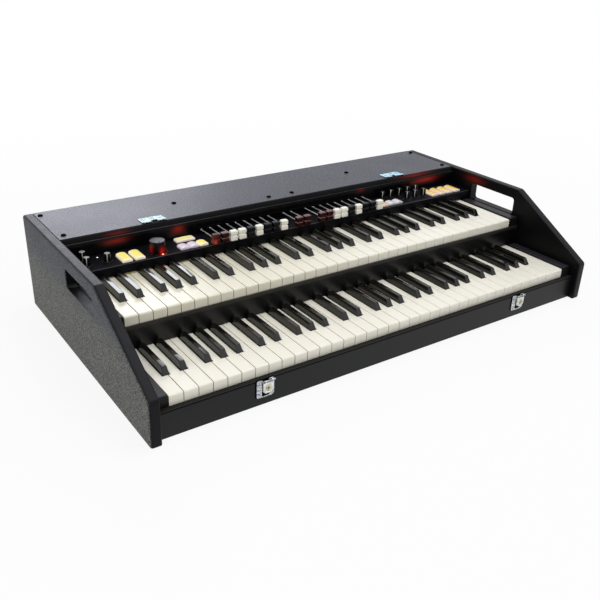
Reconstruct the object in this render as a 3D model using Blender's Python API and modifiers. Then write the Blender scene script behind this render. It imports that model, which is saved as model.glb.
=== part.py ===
"""Two-manual drawbar organ, modelled as separate pieces. Metres, +Z up, front towards -Y."""
import math

import bmesh
import bpy
from mathutils import Matrix, Vector

# Driving dimensions, in metres

FIT_GAP = 0.0003  # between pieces that touch
NEAR = 0.00001  # for telling which points lie on a face

# Keys
NATURAL_COUNT = 36
KEY_PITCH = 0.0235
KEY_SPACE = 0.001
KEY_LENGTH = 0.235
KEY_SHOWN = 0.140  # length of a natural in front of the piece above it
KEY_FACE_SHOWN = 0.016  # height of a natural's front above the strip before it
KEY_NOSE_DEPTH = 0.012
KEY_NOSE_HEIGHT = 0.020
KEY_BODY_HEIGHT = 0.012
KEY_NOSE_RADIUS = 0.003
KEY_TAIL = 0.018  # of a key behind its pivot
KEY_DIP = 0.010
SHARP_SETBACK = 0.051
SHARP_BACK_GAP = 0.0025  # from a sharp's block to the piece above its key
SHARP_STEP = 0.0005  # a sharp's bar lies under the naturals' tops
SHARP_HEIGHT = 0.0115
SHARP_BASE_WIDTH = 0.0116
SHARP_TOP_WIDTH = 0.0080
SHARP_NOSE_RUN = 0.007
SHARP_TAIL_RUN = 0.002
SHARP_SPACE = 0.0011
SHARP_SHIFTS = {0: -0.0025, 1: 0.0030, 3: -0.0033, 4: 0.0, 5: 0.0035}  # by natural in the octave
LIVE_OCTAVE = 2  # octave of the upper manual whose keys are single pieces

# Manuals
MANUAL_MARGIN = 0.0051  # of the upper naturals' fronts behind the shown part of the lower keys
MANUAL_RISE = 0.0562
MANUAL_AIR = 0.0025  # between the lower sharps and the upper chassis
LOWER_TOP = 0.0625  # height of the lower naturals
PIVOT_RADIUS = 0.0025
PIVOT_RAIL_DEPTH = 0.016
PIVOT_RAIL_HEIGHT = 0.008
PIVOT_AIR = 0.0015
PIVOT_BITE = 0.001  # how far pieces reach into each other where they are one
CHASSIS_SHEET = 0.0025
CHASSIS_WALL = 0.010
STOP_SPACE = 0.012  # from a key's nose to the stop rail
CHEEK_WIDTH = 0.0205
CHEEK_GAP = 0.0015
CHEEK_RISE = 0.0025
CHEEK_EDGE = 0.0015
CHEEK_BACK_GAP = 0.001

# Case
PANEL_THICKNESS = 0.018
PANEL_FRONT_HEIGHT = 0.076
PANEL_SLOPE_RUN = 0.176
PANEL_EDGE_ROUND = 0.005
PANEL_PROUD = 0.0005  # side panels above the deck
PANEL_FOOT_RADIUS = 0.004
PANEL_SHOULDER_RADIUS = 0.012
PANEL_NOSE_RADIUS = 0.008
SLOT_BEHIND_SLOPE = 0.007
SLOT_LENGTH = 0.119
SLOT_RISE = 0.0008  # above the cheek block
SLOT_HEIGHT = 0.034
SLOT_RADIUS = 0.006
RAIL_SETBACK = 0.013
RAIL_THICKNESS = 0.008
RAIL_EDGE = 0.0015
KEY_FRONT_GAP = 0.0014
GROUND_GAP = 0.001
BASE_THICKNESS = 0.009
REAR_THICKNESS = 0.009
REAR_RECESS = 0.001
DECK_THICKNESS = 0.009
DECK_DEPTH = 0.149
DECK_EDGE = 0.002

# Panel over the upper manual
CONTROL_RISE = 0.0203  # above the upper naturals
CONTROL_SHEET = 0.0025
CONTROL_EDGE = 0.0015
CONTROL_LIP_AIR = 0.0038  # under the panel's front lip
BACKBOARD_HEIGHT = 0.0285
BACKBOARD_SHEET = 0.003
LEDGE_DEPTH = 0.003
LEDGE_HEIGHT = 0.0067

# Fascia under the upper keys
FASCIA_SHEET = 0.0018
FASCIA_AIR = 0.0015  # above the lower naturals
STRIP_DEPTH = 0.003
STRIP_HEIGHT = 0.006
STRIP_LAP = 0.0008  # above the shown part of the upper naturals' fronts
STRIP_GAP = 0.0012  # to the keys behind it

# Drawbars
KNOB_SPACE = 0.0035  # between neighbouring knobs
KNOB_GROUP_SPACE = 0.0203
DRAWBAR_CENTRE_X = -0.003
MANUAL_DRAWBAR_COUNT = 9
BASS_DRAWBAR_COUNT = 2
DRAWBAR_TRAVEL = 0.032
ROD_WIDTH = 0.0022
ROD_HEIGHT = 0.0034
KNOB_WIDTH = 0.0145
KNOB_DEPTH = 0.0095
KNOB_HEIGHT = 0.019
KNOB_WAIST = 0.0012
KNOB_CORNER = 0.0015
KNOB_GROOVE = 0.0042  # height of the groove across a knob's face
KNOB_AIR = 0.001  # under a knob
KNOB_OVERHANG = 0.004
GUIDE_SETBACK = 0.020
GUIDE_THICKNESS = 0.006
GUIDE_AIR = 0.0075  # from the guide to the deck
SHOE_SIZE = 0.006
SHOE_SPARE = 0.004  # of sheet behind the shoes when the drawbars are pushed in

# Small controls, placed from the inner faces of the side panels
DIAL_RADIUS = 0.00525
DIAL_TOP_RADIUS = 0.0046
DIAL_HEIGHT = 0.016
DIAL_EDGE = 0.0008
DIAL_AIR = 0.0004
DIAL_BITE = 0.0005  # of a moulded dial's skirt into the panel
SHAFT_RADIUS = 0.003
SHAFT_LENGTH = 0.009
BIG_DIAL_RADIUS = 0.0145
BIG_DIAL_TOP_RADIUS = 0.0137
BIG_DIAL_HEIGHT = 0.021
BIG_DIAL_FROM_LEFT = 0.153
ROW_BACK_MARGIN = 0.012  # from the backboard to the back row
ROW_FRONT = 0.0225  # behind the panel's front edge
LEFT_DIALS = {"back": (0.030,), "front": (0.028, 0.063)}
RIGHT_DIALS = {"back": (0.2105, 0.1870, 0.1645, 0.1405, 0.1180), "front": (0.1640, 0.1420, 0.1180)}
LAMP_FROM_LEFT = 0.055
LAMP_RADIUS = 0.0022
LAMP_HEIGHT = 0.0012
TAB_WIDTH = 0.018
TAB_DEPTH = 0.035
TAB_EDGE_HEIGHT = 0.003
TAB_CROWN = 0.0035
TAB_SINK = 0.004  # of a live tab below the panel's top
TAB_GAP = 0.0005
TAB_ARCH_STEPS = 4
TAB_SETBACK = 0.005  # front of the tabs behind the panel's front edge
TAB_LEFT_FROM = (0.0922, 0.1148)
TAB_RIGHT_FROM = (0.0965, 0.0750, 0.0535, 0.0320)
BAR_WIDTH = 0.0365
BAR_DEPTH = 0.019
BAR_SPACE = 0.012  # from the small tabs to the bar
BAR_MARGIN = 0.005  # from the bar to the backboard
SMALL_TAB_PITCH = 0.0183
SMALL_TAB_SPACE = 0.001
SMALL_TAB_DEPTH = 0.0195
SMALL_TAB_GROUP = 0.2165  # centre of each group of three, from the side panel
SMALL_TAB_COUNT = 3

# Metalware
LATCH_FROM_SIDE = {"left": 0.174, "right": 0.1572}
LATCH_DROP = 0.0016  # under the front rail's top
LATCH_FOOT = 0.0052
LATCH_HEAD = 0.001
LATCH_SHEET = 0.0012
LATCH_EAR = 0.0012
LATCH_CORNER = 0.004
LEVER_WIDTH = 0.016
LEVER_HEIGHT = 0.0226
LEVER_THICKNESS = 0.0035
LEVER_SHIFT = 0.0059
LEVER_AXLE = 0.0018
LEVER_LIP_RISE = 0.004
LEVER_LIP = 0.0015
HINGE_FROM_SIDE = {"left": 0.171, "right": 0.161}
HINGE_WIDTH = 0.048
HINGE_SETBACK = 0.0045  # barrels' centre, from the deck's front edge
HINGE_DEPTH = 0.027
HINGE_SHEET = 0.0012
HINGE_BARREL = 0.0015
HINGE_CORNER = 0.003

# Inside and back
BOARD_WIDTH = 0.26
BOARD_DEPTH = 0.085
BOARD_SHEET = 0.0016
BOARD_CENTRE_X = 0.10
BOARD_FROM_REAR = 0.03
BOARD_LEG = 0.008
BOARD_LEG_SIDE = 0.006
BOARD_LEG_INSET = 0.0055
CHIP_SIDE = 0.020
CHIP_HEIGHT = 0.002
CHIP_PITCH = 0.07
CHIP_COUNT = 3
SOCKET_COUNT = 5
SOCKET_PITCH = 0.024
SOCKET_FROM_LEFT = 0.09
SOCKET_RADIUS = 0.0055
SOCKET_BORE = 0.0032
SOCKET_BORE_DEPTH = 0.003
SOCKET_HEIGHT = 0.040
SOCKET_MARGIN = 0.014
SOCKET_SHEET = 0.002
INLET_WIDTH = 0.027
INLET_HEIGHT = 0.020
INLET_WALL = 0.003
INLET_CORNER = 0.004
INLET_SPACE = 0.014
THROUGH = 0.002  # how far a cutter passes the faces that it cuts

# Places worked out from the driving dimensions

KEY_PIVOT_RUN = KEY_LENGTH - KEY_TAIL
STOP_RUN = KEY_NOSE_DEPTH + STOP_SPACE
SHARP_LENGTH = KEY_SHOWN - SHARP_SETBACK - SHARP_BACK_GAP
BANK = NATURAL_COUNT * KEY_PITCH
INNER = BANK + 2 * (CHEEK_WIDTH + CHEEK_GAP)
WIDTH = INNER + 2 * PANEL_THICKNESS
RAIL_BACK = RAIL_SETBACK + RAIL_THICKNESS
LOWER_FRONT = RAIL_BACK + KEY_FRONT_GAP
UPPER_FRONT = LOWER_FRONT + KEY_SHOWN + MANUAL_MARGIN
CONTROL_FRONT = UPPER_FRONT + KEY_SHOWN
TAB_FRONT = CONTROL_FRONT + TAB_SETBACK
BAR_FRONT = TAB_FRONT + SMALL_TAB_DEPTH + BAR_SPACE
CONTROL_DEPTH = BAR_FRONT + BAR_DEPTH + BAR_MARGIN - CONTROL_FRONT
BACKBOARD_FRONT = CONTROL_FRONT + CONTROL_DEPTH
DEPTH = BACKBOARD_FRONT + DECK_DEPTH
UPPER_TOP = LOWER_TOP + MANUAL_RISE
CONTROL_TOP = UPPER_TOP + CONTROL_RISE
DECK_UNDER = CONTROL_TOP + BACKBOARD_HEIGHT
DECK_TOP = DECK_UNDER + DECK_THICKNESS
PANEL_TOP = DECK_TOP + PANEL_PROUD
RAIL_TOP = LOWER_TOP - KEY_FACE_SHOWN
CHEEK_TOP = UPPER_TOP + CHEEK_RISE
ROD_Z = CONTROL_TOP + KNOB_AIR + KNOB_HEIGHT / 2
KNOB_FACE = CONTROL_FRONT - KNOB_OVERHANG
GUIDE_FRONT = BACKBOARD_FRONT + GUIDE_SETBACK
GUIDE_BACK = GUIDE_FRONT + GUIDE_THICKNESS
SHOE_FRONT = GUIDE_BACK + FIT_GAP
SHEET_BACK = SHOE_FRONT + SHOE_SIZE + DRAWBAR_TRAVEL + SHOE_SPARE
DRAWBAR_GROUPS = (("upper", MANUAL_DRAWBAR_COUNT), ("bass", BASS_DRAWBAR_COUNT),
                  ("lower", MANUAL_DRAWBAR_COUNT))
DRAWBAR_PITCH = KNOB_WIDTH + KNOB_SPACE
DRAWBAR_GROUP_PITCH = KNOB_WIDTH + KNOB_GROUP_SPACE
HALF_INNER = INNER / 2 - FIT_GAP
BASE_TOP = GROUND_GAP + BASE_THICKNESS
REAR_FRONT = DEPTH - REAR_RECESS - REAR_THICKNESS
CENTRE_SHIFT = Vector((0, -DEPTH / 2, 0))  # the origin is under the middle of the case


def reset_scene():
    for obj in list(bpy.data.objects):
        bpy.data.objects.remove(obj)


def collection(name):
    made = bpy.data.collections.new(name)
    bpy.context.scene.collection.children.link(made)
    return made


def material(name, colour, roughness, metallic=0.0, glow=0.0):
    made = bpy.data.materials.new(name)
    made.use_nodes = True
    shader = made.node_tree.nodes["Principled BSDF"]
    shader.inputs["Base Color"].default_value = (*colour, 1)
    shader.inputs["Roughness"].default_value = roughness
    shader.inputs["Metallic"].default_value = metallic
    shader.inputs["Emission Color"].default_value = (*colour, 1)
    shader.inputs["Emission Strength"].default_value = glow
    made.diffuse_color = (*colour, 1)
    return made


reset_scene()
ORGAN = collection("drawbar_organ")
FINISH = {
    "grained": material("grained_black", (0.030, 0.030, 0.031), 0.62),
    "deck": material("textured_deck", (0.075, 0.076, 0.082), 0.55),
    "satin": material("satin_black", (0.018, 0.018, 0.019), 0.42),
    "gloss": material("gloss_black", (0.006, 0.006, 0.007), 0.08),
    "ivory": material("ivory_plastic", (0.86, 0.83, 0.74), 0.30),
    "black": material("black_plastic", (0.012, 0.012, 0.013), 0.25),
    "brown": material("brown_plastic", (0.065, 0.022, 0.014), 0.30),
    "white": material("white_plastic", (0.88, 0.86, 0.78), 0.30),
    "lit": material("lit_tab", (0.95, 0.78, 0.42), 0.35, glow=0.4),
    "steel": material("bright_steel", (0.62, 0.62, 0.64), 0.28, 1.0),
    "zinc": material("zinc_sheet", (0.42, 0.43, 0.44), 0.45, 1.0),
    "board": material("circuit_board", (0.02, 0.16, 0.06), 0.50),
}


def place(bm, name, finishes, angle=math.radians(35)):
    """Turn a mesh under construction into an object, shifted from case to world places."""
    bmesh.ops.translate(bm, verts=bm.verts, vec=CENTRE_SHIFT)
    mesh = bpy.data.meshes.new(name)
    bm.to_mesh(mesh)
    bm.free()
    for key in finishes:
        mesh.materials.append(FINISH[key])
    mesh.shade_smooth()
    mesh.set_sharp_from_angle(angle=angle)
    obj = bpy.data.objects.new(name, mesh)
    ORGAN.objects.link(obj)
    return obj


def add_box(bm, x, y, z):
    """Add a box between the pairs of limits x, y and z."""
    spans = Vector((x[1] - x[0], y[1] - y[0], z[1] - z[0]))
    middle = Vector((x[0] + x[1], y[0] + y[1], z[0] + z[1])) / 2
    matrix = Matrix.Translation(middle) @ Matrix.Diagonal((*spans, 1))
    return bmesh.ops.create_cube(bm, size=1, matrix=matrix)["verts"]


def add_post(bm, x, y, side, low, high):
    """Add a square post about a point."""
    half = side / 2
    add_box(bm, (x - half, x + half), (y - half, y + half), (low, high))


def box_mesh(x, y, z):
    bm = bmesh.new()
    add_box(bm, x, y, z)
    return bm


def rounded(points, radii, steps):
    """Round the corners of an outline, each by its own radius."""
    result = []
    for index, (corner, radius) in enumerate(zip(points, radii)):
        here = Vector(corner)
        before = (Vector(points[index - 1]) - here).normalized()
        after = (Vector(points[(index + 1) % len(points)]) - here).normalized()
        if radius <= 0:
            result.append(here)
            continue
        half = before.angle(after) / 2
        middle = here + (before + after).normalized() * radius / math.sin(half)
        start = (here + before * radius / math.tan(half) - middle).normalized()
        end = (here + after * radius / math.tan(half) - middle).normalized()
        for step in range(steps + 1):
            result.append(middle + radius * start.slerp(end, step / steps))
    return result


def prism(outline, plane, low, high):
    """Extrude an outline lying in plane 'yz', 'xz' or 'xy' between low and high."""
    axis = {"yz": 0, "xz": 1, "xy": 2}[plane]
    bm = bmesh.new()
    verts = []
    for first, second in outline:
        spot = [first, second]
        spot.insert(axis, low)
        verts.append(bm.verts.new(spot))
    face = bm.faces.new(verts)
    grown = bmesh.ops.extrude_face_region(bm, geom=[face])["geom"]
    move = Vector((0, 0, 0))
    move[axis] = high - low
    bmesh.ops.translate(bm, verts=[v for v in grown if isinstance(v, bmesh.types.BMVert)], vec=move)
    bmesh.ops.recalc_face_normals(bm, faces=bm.faces)
    return bm


def bevel_where(bm, test, width, steps=1):
    """Bevel the edges whose two ends both pass the test."""
    edges = [edge for edge in bm.edges if all(test(vert.co) for vert in edge.verts)]
    bmesh.ops.bevel(bm, geom=edges, offset=width, segments=steps, profile=0.5, affect="EDGES")


def join_into(bm, other):
    """Append one mesh under construction to another, and free it."""
    mesh = bpy.data.meshes.new("joined")
    other.to_mesh(mesh)
    other.free()
    bm.from_mesh(mesh)
    bpy.data.meshes.remove(mesh)


def cut_or_weld(obj, tool_bm, operation, finishes):
    """Apply a Boolean with a mesh under construction, and keep the plain result."""
    tool = place(tool_bm, obj.name + "_tool", finishes)
    step = obj.modifiers.new("boolean", "BOOLEAN")
    step.operation = operation
    step.solver = "EXACT"
    step.object = tool
    bpy.context.view_layer.update()
    graph = bpy.context.evaluated_depsgraph_get()
    mesh = bpy.data.meshes.new_from_object(obj.evaluated_get(graph))
    mesh.name = obj.name
    old = obj.data
    obj.modifiers.clear()
    obj.data = mesh
    bpy.data.meshes.remove(old)
    bpy.data.objects.remove(tool)


def turned(profile, steps, x, y, z):
    """Turn a profile of (radius, height) pairs about Z, and stand it at x, y, z."""
    mesh = bpy.data.meshes.new("profile")
    edges = [(i, i + 1) for i in range(len(profile) - 1)]
    mesh.from_pydata([(radius, 0, height) for radius, height in profile], edges, [])
    obj = bpy.data.objects.new("profile", mesh)
    ORGAN.objects.link(obj)
    screw = obj.modifiers.new("turn", "SCREW")
    screw.steps = steps
    screw.render_steps = steps
    screw.use_merge_vertices = True
    screw.merge_threshold = 0.00001
    bpy.context.view_layer.update()
    graph = bpy.context.evaluated_depsgraph_get()
    bm = bmesh.new()
    bm.from_mesh(obj.evaluated_get(graph).to_mesh())
    bmesh.ops.translate(bm, verts=bm.verts, vec=(x, y, z))
    bmesh.ops.recalc_face_normals(bm, faces=bm.faces)
    bpy.data.objects.remove(obj)
    bpy.data.meshes.remove(mesh)
    return bm


def from_side(side, run):
    """Place measured from the inner face of the named side panel."""
    return run - INNER / 2 if side == "left" else INNER / 2 - run


def set_origin(obj, x, y, z):
    """Move an object's origin to a point on its joint's axis, leaving its shape where it is."""
    spot = Vector((x, y, z)) + CENTRE_SHIFT
    obj.data.transform(Matrix.Translation(-spot))
    obj.location = spot


# Case

def side_panel(name, sign):
    corners = [(0, 0), (DEPTH, 0), (DEPTH, PANEL_TOP), (PANEL_SLOPE_RUN, PANEL_TOP), (0, PANEL_FRONT_HEIGHT)]
    radii = (PANEL_FOOT_RADIUS,) * 3 + (PANEL_SHOULDER_RADIUS, PANEL_NOSE_RADIUS)
    outline = rounded(corners, radii, 3)
    inner = sign * INNER / 2
    outer = sign * WIDTH / 2
    bm = prism(outline, "yz", min(inner, outer), max(inner, outer))
    rims = [edge for edge in bm.edges if edge.calc_face_angle(0) > math.radians(80)]
    bmesh.ops.bevel(bm, geom=rims, offset=PANEL_EDGE_ROUND, segments=2, profile=0.5, affect="EDGES")
    panel = place(bm, name, ("grained",))
    front = PANEL_SLOPE_RUN + SLOT_BEHIND_SLOPE
    back = front + SLOT_LENGTH
    bottom = CHEEK_TOP + SLOT_RISE
    top = bottom + SLOT_HEIGHT
    slot = rounded([(front, bottom), (back, bottom), (back, top), (front, top)], (SLOT_RADIUS,) * 4, 3)
    cutter = prism(slot, "yz", min(inner, outer) - THROUGH, max(inner, outer) + THROUGH)
    cut_or_weld(panel, cutter, "DIFFERENCE", ("grained",))


def front_rail():
    bm = box_mesh((-HALF_INNER, HALF_INNER), (RAIL_SETBACK, RAIL_BACK), (GROUND_GAP, RAIL_TOP))
    bevel_where(bm, lambda co: co.y < RAIL_SETBACK + NEAR and co.z > RAIL_TOP - NEAR, RAIL_EDGE, 2)
    place(bm, "front_rail", ("satin",))


def bottom_panel():
    back = REAR_FRONT - FIT_GAP
    place(box_mesh((-HALF_INNER, HALF_INNER), (RAIL_BACK + FIT_GAP, back), (GROUND_GAP, BASE_TOP)),
          "bottom_panel", ("satin",))


def rear_panel():
    panel = place(box_mesh((-HALF_INNER, HALF_INNER), (REAR_FRONT, REAR_FRONT + REAR_THICKNESS),
                           (GROUND_GAP, DECK_UNDER - FIT_GAP)), "rear_panel", ("satin",))
    low = REAR_FRONT - THROUGH
    high = REAR_FRONT + REAR_THICKNESS + THROUGH
    holes = inlet_block(FIT_GAP, low, high)
    for x in socket_places():
        join_into(holes, socket_barrel(x, SOCKET_RADIUS + FIT_GAP, low, high))
    cut_or_weld(panel, holes, "DIFFERENCE", ("satin",))


def top_deck():
    bm = box_mesh((-HALF_INNER, HALF_INNER), (BACKBOARD_FRONT, DEPTH - REAR_RECESS), (DECK_UNDER, DECK_TOP))
    bevel_where(bm, lambda co: co.y < BACKBOARD_FRONT + NEAR and co.z > DECK_TOP - NEAR, DECK_EDGE, 2)
    place(bm, "top_deck", ("deck",))


def upper_fascia():
    back = UPPER_FRONT - STRIP_GAP
    top = UPPER_TOP - KEY_FACE_SHOWN + STRIP_LAP
    outline = [
        (back - FASCIA_SHEET, LOWER_TOP + FASCIA_AIR),
        (back, LOWER_TOP + FASCIA_AIR),
        (back, top),
        (back - STRIP_DEPTH, top),
        (back - STRIP_DEPTH, top - STRIP_HEIGHT),
        (back - FASCIA_SHEET, top - STRIP_HEIGHT),
    ]
    place(prism(outline, "yz", -HALF_INNER, HALF_INNER), "upper_fascia", ("gloss",))


# Manuals

def chassis(name, front, key_top, base_top, flange_bottom, cheek_front, cheek_back):
    """Sheet channel with a stop rail, a wall under the pivots, a cheek block at each end."""
    base_under = base_top - CHASSIS_SHEET
    stop = front + STOP_RUN
    drop_at_stop = KEY_DIP * (KEY_PIVOT_RUN - STOP_RUN) / KEY_PIVOT_RUN
    stop_top = key_top - KEY_BODY_HEIGHT - drop_at_stop - FIT_GAP
    pivot = front + KEY_PIVOT_RUN
    wall_top = key_top - KEY_BODY_HEIGHT - PIVOT_AIR - PIVOT_RAIL_HEIGHT - FIT_GAP
    outline = [
        (cheek_front, flange_bottom),
        (cheek_front + CHASSIS_SHEET, flange_bottom),
        (cheek_front + CHASSIS_SHEET, base_under),
        (pivot + CHASSIS_WALL / 2, base_under),
        (pivot + CHASSIS_WALL / 2, wall_top),
        (pivot - CHASSIS_WALL / 2, wall_top),
        (pivot - CHASSIS_WALL / 2, base_top),
        (stop + CHASSIS_WALL, base_top),
        (stop + CHASSIS_WALL, stop_top),
        (stop, stop_top),
        (stop, base_top),
        (cheek_front, base_top),
    ]
    if flange_bottom >= base_under:
        outline = [(cheek_front, base_under)] + outline[3:]
    bed = place(prism(outline, "yz", -HALF_INNER, HALF_INNER), name, ("satin",))
    cheeks = bmesh.new()
    for sign in (-1, 1):
        ends = sorted((sign * (BANK / 2 + CHEEK_GAP), sign * HALF_INNER))
        block = box_mesh(ends, (cheek_front, cheek_back),
                         (base_top - CHASSIS_SHEET / 2, key_top + CHEEK_RISE))
        bevel_where(block, lambda co: co.z > key_top, CHEEK_EDGE)
        join_into(cheeks, block)
    cut_or_weld(bed, cheeks, "UNION", ("satin",))


def sharp_centre(boundary):
    """Place of the sharp at the right edge of a natural, or None."""
    step = boundary % 7
    if step not in SHARP_SHIFTS or boundary >= NATURAL_COUNT - 1:
        return None
    return -BANK / 2 + (boundary + 1) * KEY_PITCH + SHARP_SHIFTS[step]


def natural_mesh(index, front, top):
    """A natural with its cut-outs beside the sharps, its rounded front and its deeper nose."""
    left = -BANK / 2 + index * KEY_PITCH + KEY_SPACE / 2
    right = left + KEY_PITCH - KEY_SPACE
    back = front + KEY_LENGTH
    notch = front + SHARP_SETBACK - SHARP_SPACE
    reach = SHARP_BASE_WIDTH / 2 + SHARP_SPACE
    nose = front + KEY_NOSE_DEPTH
    right_sharp = sharp_centre(index)
    left_sharp = sharp_centre(index - 1) if index else None
    outline = [(left, front), (right, front), (right, nose)]
    if right_sharp is None:
        outline.append((right, back))
    else:
        outline += [(right, notch), (right_sharp - reach, notch), (right_sharp - reach, back)]
    if left_sharp is None:
        outline.append((left, back))
    else:
        outline += [(left_sharp + reach, back), (left_sharp + reach, notch), (left, notch)]
    outline.append((left, nose))
    under = top - KEY_BODY_HEIGHT
    bm = prism(outline, "xy", under, top)
    ends = [v for v in bm.verts if v.co.z < under + NEAR and abs(v.co.y - nose) < NEAR]
    bmesh.ops.connect_verts(bm, verts=ends)
    faces = [f for f in bm.faces if f.normal.z < -0.9 and f.calc_center_median().y < nose]
    grown = bmesh.ops.extrude_face_region(bm, geom=faces)["geom"]
    lower = [v for v in grown if isinstance(v, bmesh.types.BMVert)]
    bmesh.ops.translate(bm, verts=lower, vec=(0, 0, KEY_BODY_HEIGHT - KEY_NOSE_HEIGHT))
    bmesh.ops.delete(bm, geom=faces, context="FACES_ONLY")
    bevel_where(bm, lambda co: co.y < front + NEAR and co.z > top - NEAR, KEY_NOSE_RADIUS, 2)
    bmesh.ops.recalc_face_normals(bm, faces=bm.faces)
    return bm


def sharp_mesh(centre, front, top):
    """A sharp: a bar between the naturals, with a tapered block on its front part."""
    start = front + SHARP_SETBACK
    half = SHARP_BASE_WIDTH / 2
    level = top - SHARP_STEP
    bm = box_mesh((centre - half, centre + half), (start, front + KEY_LENGTH),
                  (top - KEY_BODY_HEIGHT, level))
    bmesh.ops.bisect_plane(bm, geom=bm.verts[:] + bm.edges[:] + bm.faces[:],
                           plane_co=(0, start + SHARP_LENGTH, 0), plane_no=(0, 1, 0))
    faces = [f for f in bm.faces if f.normal.z > 0.9 and f.calc_center_median().y < start + SHARP_LENGTH]
    grown = bmesh.ops.extrude_face_region(bm, geom=faces)["geom"]
    bmesh.ops.delete(bm, geom=faces, context="FACES_ONLY")
    for vert in (v for v in grown if isinstance(v, bmesh.types.BMVert)):
        vert.co.z = top + SHARP_HEIGHT
        vert.co.x = centre + math.copysign(SHARP_TOP_WIDTH / 2, vert.co.x - centre)
        vert.co.y += SHARP_NOSE_RUN if vert.co.y < start + SHARP_LENGTH / 2 else -SHARP_TAIL_RUN
    bmesh.ops.recalc_face_normals(bm, faces=bm.faces)
    return bm


def pivot_bar(front, top, low_x, high_x, radius):
    """Round bar on the pivot axis; the same bar, a little larger, hollows the keys' seats."""
    bm = bmesh.new()
    turn = Matrix.Rotation(math.pi / 2, 4, "Y")
    spot = Vector(((low_x + high_x) / 2, front + KEY_PIVOT_RUN, top - KEY_BODY_HEIGHT))
    bmesh.ops.create_cone(bm, cap_ends=True, segments=12, radius1=radius, radius2=radius,
                          depth=high_x - low_x, matrix=Matrix.Translation(spot) @ turn)
    return bm


def manual(name, front, top, live):
    """One manual: its pivot rail, with every key that isn't in the live octave moulded to it."""
    under = top - KEY_BODY_HEIGHT
    rail_top = under - PIVOT_AIR
    pivot = front + KEY_PIVOT_RUN
    rail_y = (pivot - PIVOT_RAIL_DEPTH / 2, pivot + PIVOT_RAIL_DEPTH / 2)
    ends = BANK / 2 - KEY_SPACE / 2
    rail = place(box_mesh((-ends, ends), rail_y, (rail_top - PIVOT_RAIL_HEIGHT, rail_top)), name,
                 ("ivory", "black"))
    spans = [(-ends, ends)]
    if live:
        gap = (-BANK / 2 + live[0] * KEY_PITCH, -BANK / 2 + (live[-1] + 1) * KEY_PITCH)
        spans = [(-ends, gap[0] - KEY_SPACE), (gap[1] + KEY_SPACE, ends)]
        bar = pivot_bar(front, top, gap[0] - KEY_SPACE - PIVOT_BITE, gap[1] + KEY_SPACE + PIVOT_BITE,
                        PIVOT_RADIUS)
        cut_or_weld(rail, bar, "UNION", ("ivory", "black"))
    bed = bmesh.new()
    for low, high in spans:
        join_into(bed, box_mesh((low, high), rail_y, (rail_top - PIVOT_BITE, under + PIVOT_BITE)))
    cut_or_weld(rail, bed, "UNION", ("ivory", "black"))
    keys = bmesh.new()
    for index in range(NATURAL_COUNT):
        if index not in live:
            join_into(keys, natural_mesh(index, front, top))
        centre = sharp_centre(index)
        if centre is not None and index not in live:
            sharp = sharp_mesh(centre, front, top)
            for face in sharp.faces:
                face.material_index = 1
            join_into(keys, sharp)
    cut_or_weld(rail, keys, "UNION", ("ivory", "black"))


def live_keys(front, top, live):
    """The live octave's twelve keys, each on its own, hollowed over the pivot bar."""
    letters = "cdefgab"
    for index in live:
        letter = letters[index % 7]
        shapes = [("upper_key_" + letter, natural_mesh(index, front, top), "ivory")]
        centre = sharp_centre(index)
        if centre is not None:
            shapes.append(("upper_key_" + letter + "_sharp", sharp_mesh(centre, front, top), "black"))
        for name, bm, finish in shapes:
            key = place(bm, name, (finish,))
            seat = pivot_bar(front, top, -BANK / 2, BANK / 2, PIVOT_RADIUS + FIT_GAP)
            cut_or_weld(key, seat, "DIFFERENCE", (finish,))
            set_origin(key, 0, front + KEY_PIVOT_RUN, top - KEY_BODY_HEIGHT)


# Drawbars

def drawbar_places():
    """Yield the name and x of each drawbar, from left to right."""
    steps = sum(count - 1 for group, count in DRAWBAR_GROUPS)
    span = steps * DRAWBAR_PITCH + (len(DRAWBAR_GROUPS) - 1) * DRAWBAR_GROUP_PITCH
    x = DRAWBAR_CENTRE_X - span / 2
    for group, count in DRAWBAR_GROUPS:
        for number in range(1, count + 1):
            yield f"{group}_drawbar_{number}", x
            x += DRAWBAR_PITCH
        x += DRAWBAR_GROUP_PITCH - DRAWBAR_PITCH


def rod_slots(low_y, high_y):
    bm = bmesh.new()
    wide = ROD_WIDTH / 2 + FIT_GAP
    tall = ROD_HEIGHT / 2 + FIT_GAP
    for name, x in drawbar_places():
        add_box(bm, (x - wide, x + wide), (low_y, high_y), (ROD_Z - tall, ROD_Z + tall))
    return bm


def backboard():
    low = CONTROL_TOP + FIT_GAP
    high = DECK_UNDER - FIT_GAP
    outline = [
        (BACKBOARD_FRONT, low),
        (BACKBOARD_FRONT + BACKBOARD_SHEET, low),
        (BACKBOARD_FRONT + BACKBOARD_SHEET, high),
        (BACKBOARD_FRONT - LEDGE_DEPTH, high),
        (BACKBOARD_FRONT - LEDGE_DEPTH, high - LEDGE_HEIGHT),
        (BACKBOARD_FRONT, high - LEDGE_HEIGHT),
    ]
    board = place(prism(outline, "yz", -HALF_INNER, HALF_INNER), "backboard", ("gloss",))
    cutter = rod_slots(BACKBOARD_FRONT - THROUGH, BACKBOARD_FRONT + BACKBOARD_SHEET + THROUGH)
    cut_or_weld(board, cutter, "DIFFERENCE", ("gloss",))


def drawbar_guide():
    xs = [x for name, x in drawbar_places()]
    comb = box_mesh((xs[0] - DRAWBAR_PITCH / 2, xs[-1] + DRAWBAR_PITCH / 2), (GUIDE_FRONT, GUIDE_BACK),
                    (CONTROL_TOP + FIT_GAP, DECK_UNDER - GUIDE_AIR))
    guide = place(comb, "drawbar_guide", ("zinc",))
    cut_or_weld(guide, rod_slots(GUIDE_FRONT - THROUGH, GUIDE_BACK + THROUGH), "DIFFERENCE", ("zinc",))


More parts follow.
